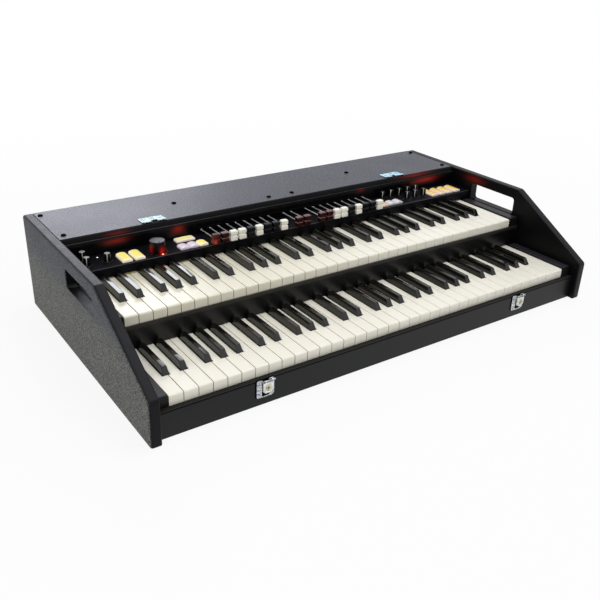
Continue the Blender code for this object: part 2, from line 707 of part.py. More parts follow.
def knob_outline(x):
    half = KNOB_WIDTH / 2
    tall = KNOB_HEIGHT / 2
    right = [
        (half - KNOB_CORNER, -tall),
        (half, -tall + KNOB_CORNER),
        (half, -KNOB_GROOVE / 2),
        (half - KNOB_WAIST, 0),
        (half, KNOB_GROOVE / 2),
        (half, tall - KNOB_CORNER),
        (half - KNOB_CORNER, tall),
    ]
    left = [(-px, pz) for px, pz in reversed(right)]
    return [(x + px, ROD_Z + pz) for px, pz in right + left]


def drawbars():
    colours = {"upper": ("brown", "brown", "white", "white", "black", "white", "black", "black", "white"),
               "bass": ("brown", "brown"),
               "lower": ("brown", "brown", "white", "white", "black", "white", "black", "black", "white")}
    shoe_half = SHOE_SIZE / 2
    for name, x in drawbar_places():
        group, number = name.split("_drawbar_")
        finishes = (colours[group][int(number) - 1], "steel")
        knob = prism(knob_outline(x), "xz", KNOB_FACE, KNOB_FACE + KNOB_DEPTH)
        bar = place(knob, name, finishes)
        rod = box_mesh((x - ROD_WIDTH / 2, x + ROD_WIDTH / 2),
                       (KNOB_FACE + KNOB_DEPTH / 2, SHOE_FRONT + SHOE_SIZE / 2),
                       (ROD_Z - ROD_HEIGHT / 2, ROD_Z + ROD_HEIGHT / 2))
        for polygon in rod.faces:
            polygon.material_index = 1
        cut_or_weld(bar, rod, "UNION", finishes)
        shoe = box_mesh((x - shoe_half, x + shoe_half), (SHOE_FRONT, SHOE_FRONT + SHOE_SIZE),
                        (ROD_Z - shoe_half, ROD_Z + shoe_half))
        for polygon in shoe.faces:
            polygon.material_index = 1
        cut_or_weld(bar, shoe, "UNION", finishes)
        set_origin(bar, x, KNOB_FACE, ROD_Z)


# Control panel

def dial_profile(radius, top_radius, height, bottom, shaft_bottom):
    """Outer side of a dial from its top down to the end of its shaft."""
    return [
        (0, height),
        (top_radius - DIAL_EDGE, height),
        (top_radius, height - DIAL_EDGE),
        (radius, bottom),
        (SHAFT_RADIUS, bottom),
        (SHAFT_RADIUS, shaft_bottom),
        (0, shaft_bottom),
    ]


def dial_spots():
    """Places of the small dials: the live ones first."""
    rows = {"back": BACKBOARD_FRONT - ROW_BACK_MARGIN, "front": CONTROL_FRONT + ROW_FRONT}
    left = [(-INNER / 2 + run, rows[row]) for row in ("front", "back") for run in LEFT_DIALS[row]]
    right = [(INNER / 2 - run, rows[row]) for row in ("back", "front") for run in RIGHT_DIALS[row]]
    return left[:2], left[2:] + right


def tab_mesh(x, front, width, depth, bottom):
    """A tab with an arched top and straight ends."""
    half = width / 2
    arch = []
    for step in range(TAB_ARCH_STEPS + 1):
        share = 1 - 2 * step / TAB_ARCH_STEPS
        arch.append((x + half * share, CONTROL_TOP + TAB_EDGE_HEIGHT + TAB_CROWN * (1 - share * share)))
    outline = [(x - half, bottom), (x + half, bottom)] + arch
    return prism(outline, "xz", front, front + depth)


def tab_places():
    """Live tabs and moulded tabs, each as name, x, front edge, width and depth."""
    live = []
    for number, run in enumerate(TAB_LEFT_FROM, 1):
        live.append((f"tab_switch_{number}", -INNER / 2 + run, TAB_FRONT, TAB_WIDTH, TAB_DEPTH))
    middle = -INNER / 2 + SMALL_TAB_GROUP
    live.append(("bar_switch", middle, BAR_FRONT, BAR_WIDTH, BAR_DEPTH))
    moulded = []
    for run in TAB_RIGHT_FROM:
        moulded.append(("tab", INNER / 2 - run, TAB_FRONT, TAB_WIDTH, TAB_DEPTH))
    for centre in (middle, -middle):
        for number in range(SMALL_TAB_COUNT):
            x = centre + (number - (SMALL_TAB_COUNT - 1) / 2) * SMALL_TAB_PITCH
            wide = SMALL_TAB_PITCH - SMALL_TAB_SPACE
            moulded.append(("small_tab", x, TAB_FRONT, wide, SMALL_TAB_DEPTH))
    return live, moulded


def control_panel():
    under = CONTROL_TOP - CONTROL_SHEET
    lip = UPPER_TOP + CONTROL_LIP_AIR
    outline = [
        (CONTROL_FRONT, lip),
        (CONTROL_FRONT + CONTROL_SHEET, lip),
        (CONTROL_FRONT + CONTROL_SHEET, under),
        (SHEET_BACK, under),
        (SHEET_BACK, CONTROL_TOP),
        (CONTROL_FRONT, CONTROL_TOP),
    ]
    bm = prism(outline, "yz", -HALF_INNER, HALF_INNER)
    bevel_where(bm, lambda co: co.y < CONTROL_FRONT + NEAR and co.z > CONTROL_TOP - NEAR, CONTROL_EDGE, 2)
    finishes = ("satin", "black", "lit")
    panel = place(bm, "control_panel", finishes)
    live_dials, fixed_dials = dial_spots()
    live_tabs, fixed_tabs = tab_places()
    holes = bmesh.new()
    wide = SHAFT_RADIUS + FIT_GAP
    bore = [(0, THROUGH), (wide, THROUGH), (wide, -CONTROL_SHEET - THROUGH), (0, -CONTROL_SHEET - THROUGH)]
    for x, y in live_dials + [big_dial_spot()]:
        join_into(holes, turned(bore, 12, x, y, CONTROL_TOP))
    for name, x, front, width, depth in live_tabs:
        add_box(holes, (x - width / 2 - TAB_GAP, x + width / 2 + TAB_GAP),
                (front - TAB_GAP, front + depth + TAB_GAP), (under - THROUGH, CONTROL_TOP + THROUGH))
    cut_or_weld(panel, holes, "DIFFERENCE", finishes)
    knobs = bmesh.new()
    profile = dial_profile(DIAL_RADIUS, DIAL_TOP_RADIUS, DIAL_HEIGHT, -DIAL_BITE, -2 * DIAL_BITE)
    for x, y in fixed_dials:
        join_into(knobs, turned(profile, 10, x, y, CONTROL_TOP))
    lamp = [(0, LAMP_HEIGHT), (LAMP_RADIUS, LAMP_HEIGHT / 2), (LAMP_RADIUS, -DIAL_BITE), (0, -DIAL_BITE)]
    lamp_y = BACKBOARD_FRONT - ROW_BACK_MARGIN
    join_into(knobs, turned(lamp, 8, -INNER / 2 + LAMP_FROM_LEFT, lamp_y, CONTROL_TOP))
    for face in knobs.faces:
        face.material_index = 1
    tabs = bmesh.new()
    for name, x, front, width, depth in fixed_tabs:
        join_into(tabs, tab_mesh(x, front, width, depth, CONTROL_TOP - DIAL_BITE))
    for face in tabs.faces:
        face.material_index = 2
    join_into(knobs, tabs)
    cut_or_weld(panel, knobs, "UNION", finishes)


def big_dial_spot():
    return (-INNER / 2 + BIG_DIAL_FROM_LEFT, CONTROL_FRONT + ROW_FRONT)


def live_controls():
    profile = dial_profile(DIAL_RADIUS, DIAL_TOP_RADIUS, DIAL_HEIGHT, DIAL_AIR, -SHAFT_LENGTH)
    for name, (x, y) in zip(("tone_dial", "drive_dial"), dial_spots()[0]):
        dial = place(turned(profile, 16, x, y, CONTROL_TOP), name, ("black",))
        set_origin(dial, x, y, CONTROL_TOP)
    x, y = big_dial_spot()
    profile = dial_profile(BIG_DIAL_RADIUS, BIG_DIAL_TOP_RADIUS, BIG_DIAL_HEIGHT, DIAL_AIR, -SHAFT_LENGTH)
    dial = place(turned(profile, 24, x, y, CONTROL_TOP), "volume_dial", ("black",))
    set_origin(dial, x, y, CONTROL_TOP)
    for name, x, front, width, depth in tab_places()[0]:
        tab = place(tab_mesh(x, front, width, depth, CONTROL_TOP - TAB_SINK), name, ("lit",))
        set_origin(tab, x, front + depth, CONTROL_TOP)


# Metalware

def latch(side):
    """Latch plate on the front rail, and the lever that swings out on an axle at its top."""
    x = from_side(side, LATCH_FROM_SIDE[side])
    face = RAIL_SETBACK - FIT_GAP
    high = RAIL_TOP - LATCH_DROP
    axle_z = high - LATCH_HEAD - LEVER_AXLE
    low = axle_z - LEVER_HEIGHT - LATCH_FOOT
    arm = LEVER_WIDTH / 2
    half = LEVER_SHIFT + arm + FIT_GAP + LATCH_EAR
    corners = [(x - half, low), (x + half, low), (x + half, high), (x - half, high)]
    plate = place(prism(rounded(corners, (LATCH_CORNER,) * 4, 2), "xz", face - LATCH_SHEET, face),
                  f"latch_plate_{side}", ("steel",))
    lever_x = x + LEVER_SHIFT
    axle_y = face - LATCH_SHEET - LEVER_AXLE - FIT_GAP
    ears = bmesh.new()
    for sign in (-1, 1):
        inside = lever_x + sign * (arm + FIT_GAP)
        ends = sorted((inside, inside + sign * LATCH_EAR))
        add_box(ears, ends, (axle_y - LEVER_AXLE, face - LATCH_SHEET / 2),
                (axle_z - LEVER_AXLE, axle_z + LEVER_AXLE))
    cut_or_weld(plate, ears, "UNION", ("steel",))
    front = face - LATCH_SHEET - FIT_GAP
    bottom = axle_z - LEVER_HEIGHT
    outline = [
        (front, axle_z),
        (axle_y, axle_z + LEVER_AXLE),
        (front - LEVER_THICKNESS, axle_z),
        (front - LEVER_THICKNESS, bottom + LEVER_LIP_RISE),
        (front - LEVER_THICKNESS - LEVER_LIP, bottom),
        (front - LEVER_THICKNESS, bottom),
        (front, bottom + LEVER_LIP_RISE - LEVER_LIP),
    ]
    lever = place(prism(outline, "yz", lever_x - arm, lever_x + arm), f"latch_lever_{side}", ("steel",))
    set_origin(lever, lever_x, axle_y, axle_z)


def lid_hinge(side):
    """Leaf left on the deck when the lid is lifted off, with a barrel at each end of its edge."""
    x = from_side(side, HINGE_FROM_SIDE[side])
    half = HINGE_WIDTH / 2
    low = DECK_TOP + FIT_GAP
    front = BACKBOARD_FRONT + HINGE_SETBACK
    back = BACKBOARD_FRONT + HINGE_DEPTH
    corners = [(x - half, front), (x + half, front), (x + half, back), (x - half, back)]
    outline = rounded(corners, (0, 0, HINGE_CORNER, HINGE_CORNER), 2)
    leaf = place(prism(outline, "xy", low, low + HINGE_SHEET), f"lid_hinge_{side}", ("steel",))
    barrels = bmesh.new()
    turn = Matrix.Rotation(math.pi / 2, 4, "Y")
    for sign in (-1, 1):
        spot = Vector((x + sign * HINGE_WIDTH / 3, front, low + HINGE_BARREL))
        bmesh.ops.create_cone(barrels, cap_ends=True, segments=10,
                              radius1=HINGE_BARREL, radius2=HINGE_BARREL,
                              depth=HINGE_WIDTH / 3, matrix=Matrix.Translation(spot) @ turn)
    cut_or_weld(leaf, barrels, "UNION", ("steel",))


# Inside and back

def main_board():
    half = BOARD_WIDTH / 2
    back = REAR_FRONT - BOARD_FROM_REAR
    front = back - BOARD_DEPTH
    low = BASE_TOP + FIT_GAP
    top = low + BOARD_LEG + BOARD_SHEET
    sheet = box_mesh((BOARD_CENTRE_X - half, BOARD_CENTRE_X + half), (front, back), (low + BOARD_LEG, top))
    board = place(sheet, "main_board", ("board", "black"))
    parts = bmesh.new()
    for x in (BOARD_CENTRE_X - half + BOARD_LEG_INSET, BOARD_CENTRE_X + half - BOARD_LEG_INSET):
        for y in (front + BOARD_LEG_INSET, back - BOARD_LEG_INSET):
            add_post(parts, x, y, BOARD_LEG_SIDE, low, top - BOARD_SHEET / 2)
    for number in range(CHIP_COUNT):
        x = BOARD_CENTRE_X + (number - (CHIP_COUNT - 1) / 2) * CHIP_PITCH
        add_post(parts, x, (front + back) / 2, CHIP_SIDE, top - BOARD_SHEET / 2, top + CHIP_HEIGHT)
    for face in parts.faces:
        face.material_index = 1
    cut_or_weld(board, parts, "UNION", ("board", "black"))


def socket_places():
    return [-INNER / 2 + SOCKET_FROM_LEFT + number * SOCKET_PITCH for number in range(SOCKET_COUNT)]


def socket_barrel(x, radius, low_y, high_y):
    bm = bmesh.new()
    turn = Matrix.Rotation(math.pi / 2, 4, "X")
    spot = Vector((x, (low_y + high_y) / 2, SOCKET_HEIGHT))
    bmesh.ops.create_cone(bm, cap_ends=True, segments=10, radius1=radius, radius2=radius,
                          depth=high_y - low_y, matrix=Matrix.Translation(spot) @ turn)
    return bm


def inlet_block(grow, low_y, high_y):
    """Rounded rectangular block of the mains inlet, standing beside the last round socket."""
    x = socket_places()[-1] + SOCKET_RADIUS + INLET_SPACE + INLET_WIDTH / 2
    half = INLET_WIDTH / 2 + grow
    tall = INLET_HEIGHT / 2 + grow
    low = SOCKET_HEIGHT - tall
    high = SOCKET_HEIGHT + tall
    corner = INLET_CORNER + grow
    corners = [(x - half, low), (x + half, low), (x + half, high), (x - half, high)]
    return prism(rounded(corners, (corner,) * 4, 1), "xz", low_y, high_y)


def rear_sockets():
    xs = socket_places()
    last = xs[-1] + SOCKET_RADIUS + INLET_SPACE + INLET_WIDTH
    tall = INLET_HEIGHT / 2 + INLET_WALL
    back = REAR_FRONT - FIT_GAP
    face = REAR_FRONT + REAR_THICKNESS
    plate = box_mesh((xs[0] - SOCKET_MARGIN, last + INLET_WALL), (back - SOCKET_SHEET, back),
                     (SOCKET_HEIGHT - tall, SOCKET_HEIGHT + tall))
    carrier = place(plate, "rear_sockets", ("black",))
    barrels = inlet_block(0, back - SOCKET_SHEET / 2, face)
    bores = inlet_block(-INLET_WALL, face - SOCKET_BORE_DEPTH, face + THROUGH)
    for x in xs:
        join_into(barrels, socket_barrel(x, SOCKET_RADIUS, back - SOCKET_SHEET / 2, face))
        join_into(bores, socket_barrel(x, SOCKET_BORE, face - SOCKET_BORE_DEPTH, face + THROUGH))
    cut_or_weld(carrier, barrels, "UNION", ("black",))
    cut_or_weld(carrier, bores, "DIFFERENCE", ("black",))


def build():
    side_panel("left_side_panel", -1)
    side_panel("right_side_panel", 1)
    front_rail()
    bottom_panel()
    rear_panel()
    top_deck()
    upper_fascia()
    lower_base = BASE_TOP + FIT_GAP + CHASSIS_SHEET
    upper_base = LOWER_TOP + SHARP_HEIGHT + MANUAL_AIR + CHASSIS_SHEET
    fascia_back = UPPER_FRONT - STRIP_GAP
    chassis("lower_keybed", LOWER_FRONT, LOWER_TOP, lower_base, lower_base,
            RAIL_BACK + FIT_GAP, fascia_back - STRIP_DEPTH - CHEEK_BACK_GAP)
    chassis("upper_keybed", UPPER_FRONT, UPPER_TOP, upper_base, LOWER_TOP + FASCIA_AIR,
            fascia_back + FIT_GAP, CONTROL_FRONT - CHEEK_BACK_GAP)
    live = range(7 * LIVE_OCTAVE, 7 * LIVE_OCTAVE + 7)
    manual("lower_manual", LOWER_FRONT, LOWER_TOP, ())
    manual("upper_manual", UPPER_FRONT, UPPER_TOP, live)
    live_keys(UPPER_FRONT, UPPER_TOP, live)
    backboard()
    drawbar_guide()
    drawbars()
    control_panel()
    live_controls()
    for side in ("left", "right"):
        latch(side)
        lid_hinge(side)
    main_board()
    rear_sockets()


build()
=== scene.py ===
# Drawbar organ with two manuals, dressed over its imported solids. Metres, +Z up, front towards -Y.
import math

import bmesh
import bpy
from mathutils import Matrix, Vector


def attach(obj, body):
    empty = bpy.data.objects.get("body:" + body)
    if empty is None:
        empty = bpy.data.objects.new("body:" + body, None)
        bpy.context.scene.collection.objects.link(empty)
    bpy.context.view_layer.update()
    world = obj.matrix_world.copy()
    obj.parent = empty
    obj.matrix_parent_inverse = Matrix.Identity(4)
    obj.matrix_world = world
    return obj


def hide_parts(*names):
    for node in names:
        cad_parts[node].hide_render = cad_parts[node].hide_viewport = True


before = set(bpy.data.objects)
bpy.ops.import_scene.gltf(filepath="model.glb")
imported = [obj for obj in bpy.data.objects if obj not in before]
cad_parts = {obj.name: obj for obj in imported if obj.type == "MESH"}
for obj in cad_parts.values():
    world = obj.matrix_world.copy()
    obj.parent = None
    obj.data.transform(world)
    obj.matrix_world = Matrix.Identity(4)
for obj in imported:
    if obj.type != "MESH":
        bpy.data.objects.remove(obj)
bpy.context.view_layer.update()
scene = bpy.context.scene
tiny = 0.00001
print("frame loaded:", len(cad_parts), "nodes")


def tone(red, green, blue):
    # a screen colour, 0 to 255, as the linear colour that nodes want
    parts = []
    for value in (red, green, blue):
        share = value / 255
        parts.append(share / 12.92 if share <= 0.04045 else ((share + 0.055) / 1.055) ** 2.4)
    return (*parts, 1.0)


noLight = tone(0, 0, 0)


# Node writing

class Wire:
    # one value on its way between nodes; maths on it adds Math nodes

    def __init__(self, graph, socket):
        self.graph = graph
        self.socket = socket

    def maths(self, operation, *values):
        return self.graph.node("ShaderNodeMath", {"operation": operation}, dict(enumerate((self, *values))))

    def __abs__(self):
        return self.maths("ABSOLUTE")

    def __add__(self, other):
        return self.maths("ADD", other)

    __radd__ = __add__

    def __sub__(self, other):
        return self.maths("SUBTRACT", other)

    def __rsub__(self, other):
        return self.graph.node("ShaderNodeMath", {"operation": "SUBTRACT"}, {0: other, 1: self})

    def __mul__(self, other):
        return self.maths("MULTIPLY", other)

    __rmul__ = __mul__

    def __truediv__(self, other):
        return self.maths("DIVIDE", other)

    def part(self, index):
        return Wire(self.graph, self.socket.node.outputs[index])

    def rise(self, low, high):
        # 0 below low, 1 above high, smooth between them
        return self.graph.node("ShaderNodeMapRange", {"interpolation_type": "SMOOTHSTEP"},
                               {"Value": self, "From Min": low, "From Max": high})

    def window(self, up, down):
        # rises over the first range and falls over the second
        return self.rise(*up) * (1 - self.rise(*down))

    def bell(self, centre, width):
        # 1 at the centre, fading out over the width
        away = (self - centre) / width
        return (away * away * -1).maths("EXPONENT")


class Graph:
    def __init__(self, tree):
        self.tree = tree

    def node(self, kind, settings=None, sockets=None, output=0):
        made = self.tree.nodes.new(kind)
        for name, value in (settings or {}).items():
            setattr(made, name, value)
        for name, value in (sockets or {}).items():
            if isinstance(value, Wire):
                self.tree.links.new(value.socket, made.inputs[name])
            else:
                made.inputs[name].default_value = value
        return Wire(self, made.outputs[output])

    def end(self, kind, wire):
        self.tree.links.new(wire.socket, self.tree.nodes.new(kind).inputs[0])
        return self.tree


class Finish(Graph):
    # a material: constants sit on the shader's own sockets, what varies is fed in

    def __init__(self, name, constants):
        self.material = bpy.data.materials.new(name)
        self.material.use_nodes = True
        super().__init__(self.material.node_tree)
        self.shader = self.tree.nodes["Principled BSDF"]
        for socket, value in constants.items():
            self.shader.inputs[socket].default_value = value

    def split(self, vector):
        first = self.node("ShaderNodeSeparateXYZ", sockets={0: vector})
        return first, first.part(1), first.part(2)

    def place(self):
        return self.node("ShaderNodeTexCoord", output="Object")

    def axes(self):
        return self.split(self.place())

    def normals(self):
        return self.split(self.node("ShaderNodeNewGeometry", output="Normal"))

    def noise(self, scale, detail=2.0, stretch=(1, 1, 1)):
        where = self.node("ShaderNodeMapping", sockets={"Vector": self.place(), "Scale": stretch})
        return self.node("ShaderNodeTexNoise", sockets={"Vector": where, "Scale": scale, "Detail": detail})

    def cells(self, scale):
        return self.node("ShaderNodeTexVoronoi", sockets={"Vector": self.place(), "Scale": scale})

    def blend(self, share, first, second):
        return self.node("ShaderNodeMix", {"data_type": "RGBA"}, {0: share, 6: first, 7: second}, output=2)

    def mottle(self, noise, low, high):
        return self.blend(noise.rise(0.3, 0.7), low, high)

    def dull(self, share, colour):
        # a matt share without any shine
        matt = self.node("ShaderNodeBsdfPrincipled", sockets={
            "Base Color": colour, "Roughness": 0.9, "Specular IOR Level": 0.02})
        shiny = Wire(self, self.shader.outputs[0])
        mixed = self.node("ShaderNodeMixShader", sockets={0: share, 1: shiny, 2: matt})
        self.tree.links.new(mixed.socket, self.tree.nodes["Material Output"].inputs["Surface"])

    def done(self, base, roughness=None, bump=None, glow=None, emission=None):
        # bump is a height, its strength and its distance; glow is a share and a colour
        if glow:
            emission = self.blend(glow[0], noLight, glow[1])
        if bump:
            bump = self.node("ShaderNodeBump", sockets=dict(zip(("Height", "Strength", "Distance"), bump)))
        fed = {"Base Color": base, "Roughness": roughness, "Normal": bump, "Emission Color": emission}
        for socket, wire in fed.items():
            if wire:
                self.tree.links.new(wire.socket, self.shader.inputs[socket])
        return self.material


def spots(x, z, rows):
    # soft spots: middle and reach in x, middle and reach in z, strength
    lit = [x.bell(middle, reach) * z.bell(height, rise) * strength
           for middle, reach, height, rise, strength in rows]
    total = lit[0]
    for spot in lit[1:]:
        total = total + spot
    return total


# Mesh writing

def span(middle, half):
    return (middle - half, middle + half)


def corner(points, index):
    # the corner, the directions to its neighbours, and half the angle between them
    here = Vector(points[index])
    before = (Vector(points[index - 1]) - here).normalized()
    after = (Vector(points[(index + 1) % len(points)]) - here).normalized()
    return here, before, after, before.angle(after) / 2


def roundCorners(points, radii, steps):
    result = []
    for index, radius in enumerate(radii):
        here, before, after, half = corner(points, index)
        middle = here + (before + after).normalized() * radius / math.sin(half)
        start = (here + before * radius / math.tan(half) - middle).normalized()
        end = (here + after * radius / math.tan(half) - middle).normalized()
        for step in range(steps + 1):
            result.append(middle + radius * start.slerp(end, step / steps))
    return result


def shrink(points, inset):
    # a convex outline with every side moved inwards
    result = []
    for index in range(len(points)):
        here, before, after, half = corner(points, index)
        result.append(here + (before + after).normalized() * inset / math.sin(half))
    return result


def loft(rings):
    # skin over rings of equal count; a ring of one point closes the end to a pole
    bm = bmesh.new()
    made = [[bm.verts.new(point) for point in ring] for ring in rings]
    for lower, upper in zip(made, made[1:]):
        count = max(len(lower), len(upper))
        for first in range(count):
            second = (first + 1) % count
            corners = [lower[first % len(lower)], lower[second % len(lower)],
                       upper[second % len(upper)], upper[first % len(upper)]]
            bm.faces.new(list(dict.fromkeys(corners)))
    for ring in (made[0], made[-1]):
        if len(ring) > 2:
            bm.faces.new(ring)
    bmesh.ops.recalc_face_normals(bm, faces=bm.faces)
    return bm


def stand(outline, axis, level):
    # a flat outline as a ring across the axis
    ring = []
    for point in outline:
        spot = list(point)
        spot.insert(axis, level)
        ring.append(Vector(spot))
    return ring


def rimLevels(level, radius, steps):
    # level and inset pairs round a rim; a negative radius rounds the upper rim
    pairs = []
    for step in range(steps + 1):
        turned = math.pi / 2 * step / steps
        pairs.append((level + radius * (1 - math.cos(turned)), abs(radius) * (1 - math.sin(turned))))
    return pairs if radius > 0 else pairs[::-1]


def slab(corners, radii, axis, ends, rims, steps=6, rimSteps=4):
    # a plate across the axis, with rounded corners and rounded rims at both ends
    rings = []
    for level, inset in rimLevels(ends[0], rims[0], rimSteps) + rimLevels(ends[1], -rims[1], rimSteps):
        if rings and abs(level - rings[-1][0][axis]) < tiny:
            continue
        rounded = [max(radius - inset, 10 * tiny) for radius in radii]
        rings.append(stand(roundCorners(shrink(corners, inset), rounded, steps), axis, level))
    return loft(rings)


def rectangle(x, y):
    return [(x[0], y[0]), (x[1], y[0]), (x[1], y[1]), (x[0], y[1])]


def plate(across, up, radii, axis, ends, rims, steps=6, rimSteps=4):
    # a rectangular slab; one radius serves all its corners
    radii = radii if isinstance(radii, tuple) else (radii,) * 4
    return slab(rectangle(across, up), radii, axis, ends, rims, steps, rimSteps)


def prism(outline, axis, ends):
    return loft([stand(outline, axis, level) for level in ends])


def block(x, y, z):
    return prism(rectangle(x, y), 2, z)


def turn(profile, steps, matrix=Matrix()):
    # radius and height pairs, turned about Z and then placed
    rings = []
    for radius, height in profile:
        if radius < tiny:
            rings.append([Vector((0, 0, height))])
            continue
        angles = [2 * math.pi * step / steps for step in range(steps)]
        rings.append([Vector((radius * math.cos(a), radius * math.sin(a), height)) for a in angles])
    bm = loft(rings)
    bmesh.ops.transform(bm, matrix=matrix, verts=bm.verts)
    return bm


def rod(radius, low, high, bevel=0.0):
    # the profile of a round bar
    if bevel:
        return [(0, low), (radius - bevel, low), (radius, low + bevel), (radius, high - bevel),
                (radius - bevel, high), (0, high)]
    return [(0, low), (radius, low), (radius, high), (0, high)]


def arc(x, y, across, up, steps):
    # profile points from the top of a quarter ellipse out to its side
    angles = [math.pi / 2 * step / steps for step in range(1, steps + 1)]
    return [(x + across * math.sin(a), y + up * math.cos(a)) for a in angles]


def at(x, y, z):
    return Matrix.Translation((x, y, z))


def facing(direction, x, y, z):
    # stands a turned shape at a point with its axis along the direction
    return at(x, y, z) @ Vector((0, 0, 1)).rotation_difference(Vector(direction)).to_matrix().to_4x4()


def bevelEdges(bm, edges, width, segments=5):
    bmesh.ops.bevel(bm, geom=edges, offset=width, segments=segments, profile=0.5, affect="EDGES")


def browEdges(bm, front, top):
    # the upper front edges
    return [e for e in bm.edges if all(v.co.y < front + tiny and v.co.z > top - tiny for v in e.verts)]


def pull(bm, faces):
    # draws the faces out into a new end, and gives the corners that are to be moved
    grown = bmesh.ops.extrude_face_region(bm, geom=faces)["geom"]
    bmesh.ops.delete(bm, geom=faces, context="FACES_ONLY")
    return [v for v in grown if isinstance(v, bmesh.types.BMVert)]


def merge(bm, other, slot=0):
    for face in other.faces:
        face.material_index = slot
    mesh = bpy.data.meshes.new("merged")
    other.to_mesh(mesh)
    other.free()
    bm.from_mesh(mesh)
    bpy.data.meshes.remove(mesh)
    return bm


def mergeAll(meshes):
    bm = bmesh.new()
    for mesh in meshes:
        merge(bm, mesh)
    return bm


def linked(name, mesh):
    piece = bpy.data.objects.new(name, mesh)
    scene.collection.objects.link(piece)
    return piece


def toPiece(bm, name, *looks):
    mesh = bpy.data.meshes.new(name)
    bm.to_mesh(mesh)
    bm.free()
    for look in looks:
        mesh.materials.append(finishes[look])
    mesh.shade_smooth()
    return linked(name, mesh)


def addTo(piece, meshes):
    bm = bmesh.new()
    bm.from_mesh(piece.data)
    for mesh in meshes:
        merge(bm, mesh)
    bm.to_mesh(piece.data)
    bm.free()
    return piece


def settle(piece):
    # the modifiers' result becomes the piece's plain mesh
    bpy.context.view_layer.update()
    graph = bpy.context.evaluated_depsgraph_get()
    mesh = bpy.data.meshes.new_from_object(piece.evaluated_get(graph), preserve_all_data_layers=True,
                                           depsgraph=graph)
    old = piece.data
    piece.modifiers.clear()
    piece.data = mesh
    bpy.data.meshes.remove(old)
    mesh.name = piece.name
    return piece


def carve(piece, cutter):
    tool = toPiece(cutter, "cutter")
    step = piece.modifiers.new("carve", "BOOLEAN")
    step.solver = "EXACT"
    step.object = tool
    settle(piece)
    bpy.data.objects.remove(tool)
    return piece


def soften(piece, width=0.0, segments=2, angle=40):
    # rounds the edges sharper than the angle, and evens the shading of the flats
    if width:
        edges = piece.modifiers.new("edges", "BEVEL")
        edges.width = width
        edges.segments = segments
        edges.limit_method = "ANGLE"
        edges.angle_limit = math.radians(angle)
    shading = piece.modifiers.new("shading", "WEIGHTED_NORMAL")
    shading.keep_sharp = False
    return settle(piece)


def dress(piece, body, slotName, *nodes):
    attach(piece, body)
    if nodes:
        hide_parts(*nodes)
    return piece


def present(bm, name, look, body, slotName, *nodes, width=0.0):
    # a whole piece in one go
    return dress(soften(toPiece(bm, name, look), width), body, slotName, *nodes)


# Growing repeats with geometry nodes

def startTree(name, inputs):
    tree = bpy.data.node_groups.new(name, "GeometryNodeTree")
    tree.interface.new_socket("Mesh", in_out="INPUT", socket_type="NodeSocketGeometry")
    for label, kind in inputs.items():
        tree.interface.new_socket(label, in_out="INPUT", socket_type="NodeSocket" + kind)
    tree.interface.new_socket("Finish", in_out="INPUT", socket_type="NodeSocketMaterial")
    tree.interface.new_socket("Mesh", in_out="OUTPUT", socket_type="NodeSocketGeometry")
    graph = Graph(tree)
    given = tree.nodes.new("NodeGroupInput")
    return graph, {socket.name: Wire(graph, socket) for socket in given.outputs if socket.name}


def endTree(graph, given, points, instance, rotation=(0, 0, 0)):
    # stands the instance on every point, as plain mesh in the given finish
    copies = graph.node("GeometryNodeInstanceOnPoints", sockets={
        "Points": points, "Instance": instance, "Rotation": rotation})
    whole = graph.node("GeometryNodeRealizeInstances", sockets={0: copies})
    shown = graph.node("GeometryNodeSetMaterial", sockets={"Geometry": whole, "Material": given["Finish"]})
    return graph.end("NodeGroupOutput", shown)


def grow(piece, tree, values):
    step = piece.modifiers.new("grow", "NODES")
    step.node_group = tree
    for item in tree.interface.items_tree:
        if item.item_type == "SOCKET" and item.in_out == "INPUT" and item.name in values:
            step[item.identifier] = values[item.name]
    return settle(piece)


def octaveRowTree():
    # repeats one octave of keys along a manual, and leaves one octave out
    graph, given = startTree("octaveRow", {"Octaves": "Int", "Octave Run": "Float", "Skip": "Int"})
    run = graph.node("ShaderNodeCombineXYZ", sockets={0: given["Octave Run"]})
    line = graph.node("GeometryNodeMeshLine", sockets={"Count": given["Octaves"], "Offset": run})
    index = graph.node("GeometryNodeInputIndex")
    skipped = graph.node("FunctionNodeCompare", {"data_type": "INT", "operation": "EQUAL"},
                         {2: index, 3: given["Skip"]})
    kept = graph.node("GeometryNodeDeleteGeometry", {"domain": "POINT"}, {0: line, 1: skipped})
    return endTree(graph, given, kept, given["Mesh"])


def scatterTree():
    # stands one head on every point of the mesh, each turned a little differently
    graph, given = startTree("scatterHeads", {"Head": "Object", "Turn Spread": "Float", "Seed": "Int"})
    head = graph.node("GeometryNodeObjectInfo", sockets={0: given["Head"]}, output="Geometry")
    spread = given["Turn Spread"]
    spin = graph.node("FunctionNodeRandomValue", {"data_type": "FLOAT"},
                      {2: spread * -1, 3: spread, "Seed": given["Seed"]}, output=1)
    return endTree(graph, given, given["Mesh"], head, graph.node("ShaderNodeCombineXYZ", sockets={2: spin}))


def ringTree():
    # sets copies of the mesh on an arc, each turned outwards
    graph, given = startTree("ringOfMarks", {"Count": "Int", "Radius": "Float", "First Angle": "Float",
                                             "Angle Step": "Float", "Centre": "Vector"})
    line = graph.node("GeometryNodeMeshLine", sockets={"Count": given["Count"]})
    angle = given["First Angle"] + given["Angle Step"] * graph.node("GeometryNodeInputIndex")
    spot = graph.node("ShaderNodeCombineXYZ", sockets={0: angle.maths("COSINE") * given["Radius"],
                                                       1: angle.maths("SINE") * given["Radius"]})
    placed = graph.node("ShaderNodeVectorMath", {"operation": "ADD"}, {0: spot, 1: given["Centre"]})
    points = graph.node("GeometryNodeSetPosition", sockets={"Geometry": line, "Position": placed})
    turned = graph.node("ShaderNodeCombineXYZ", sockets={2: angle})
    return endTree(graph, given, points, given["Mesh"], turned)


octaveRow = octaveRowTree()
scatterHeads = scatterTree()
ringOfMarks = ringTree()


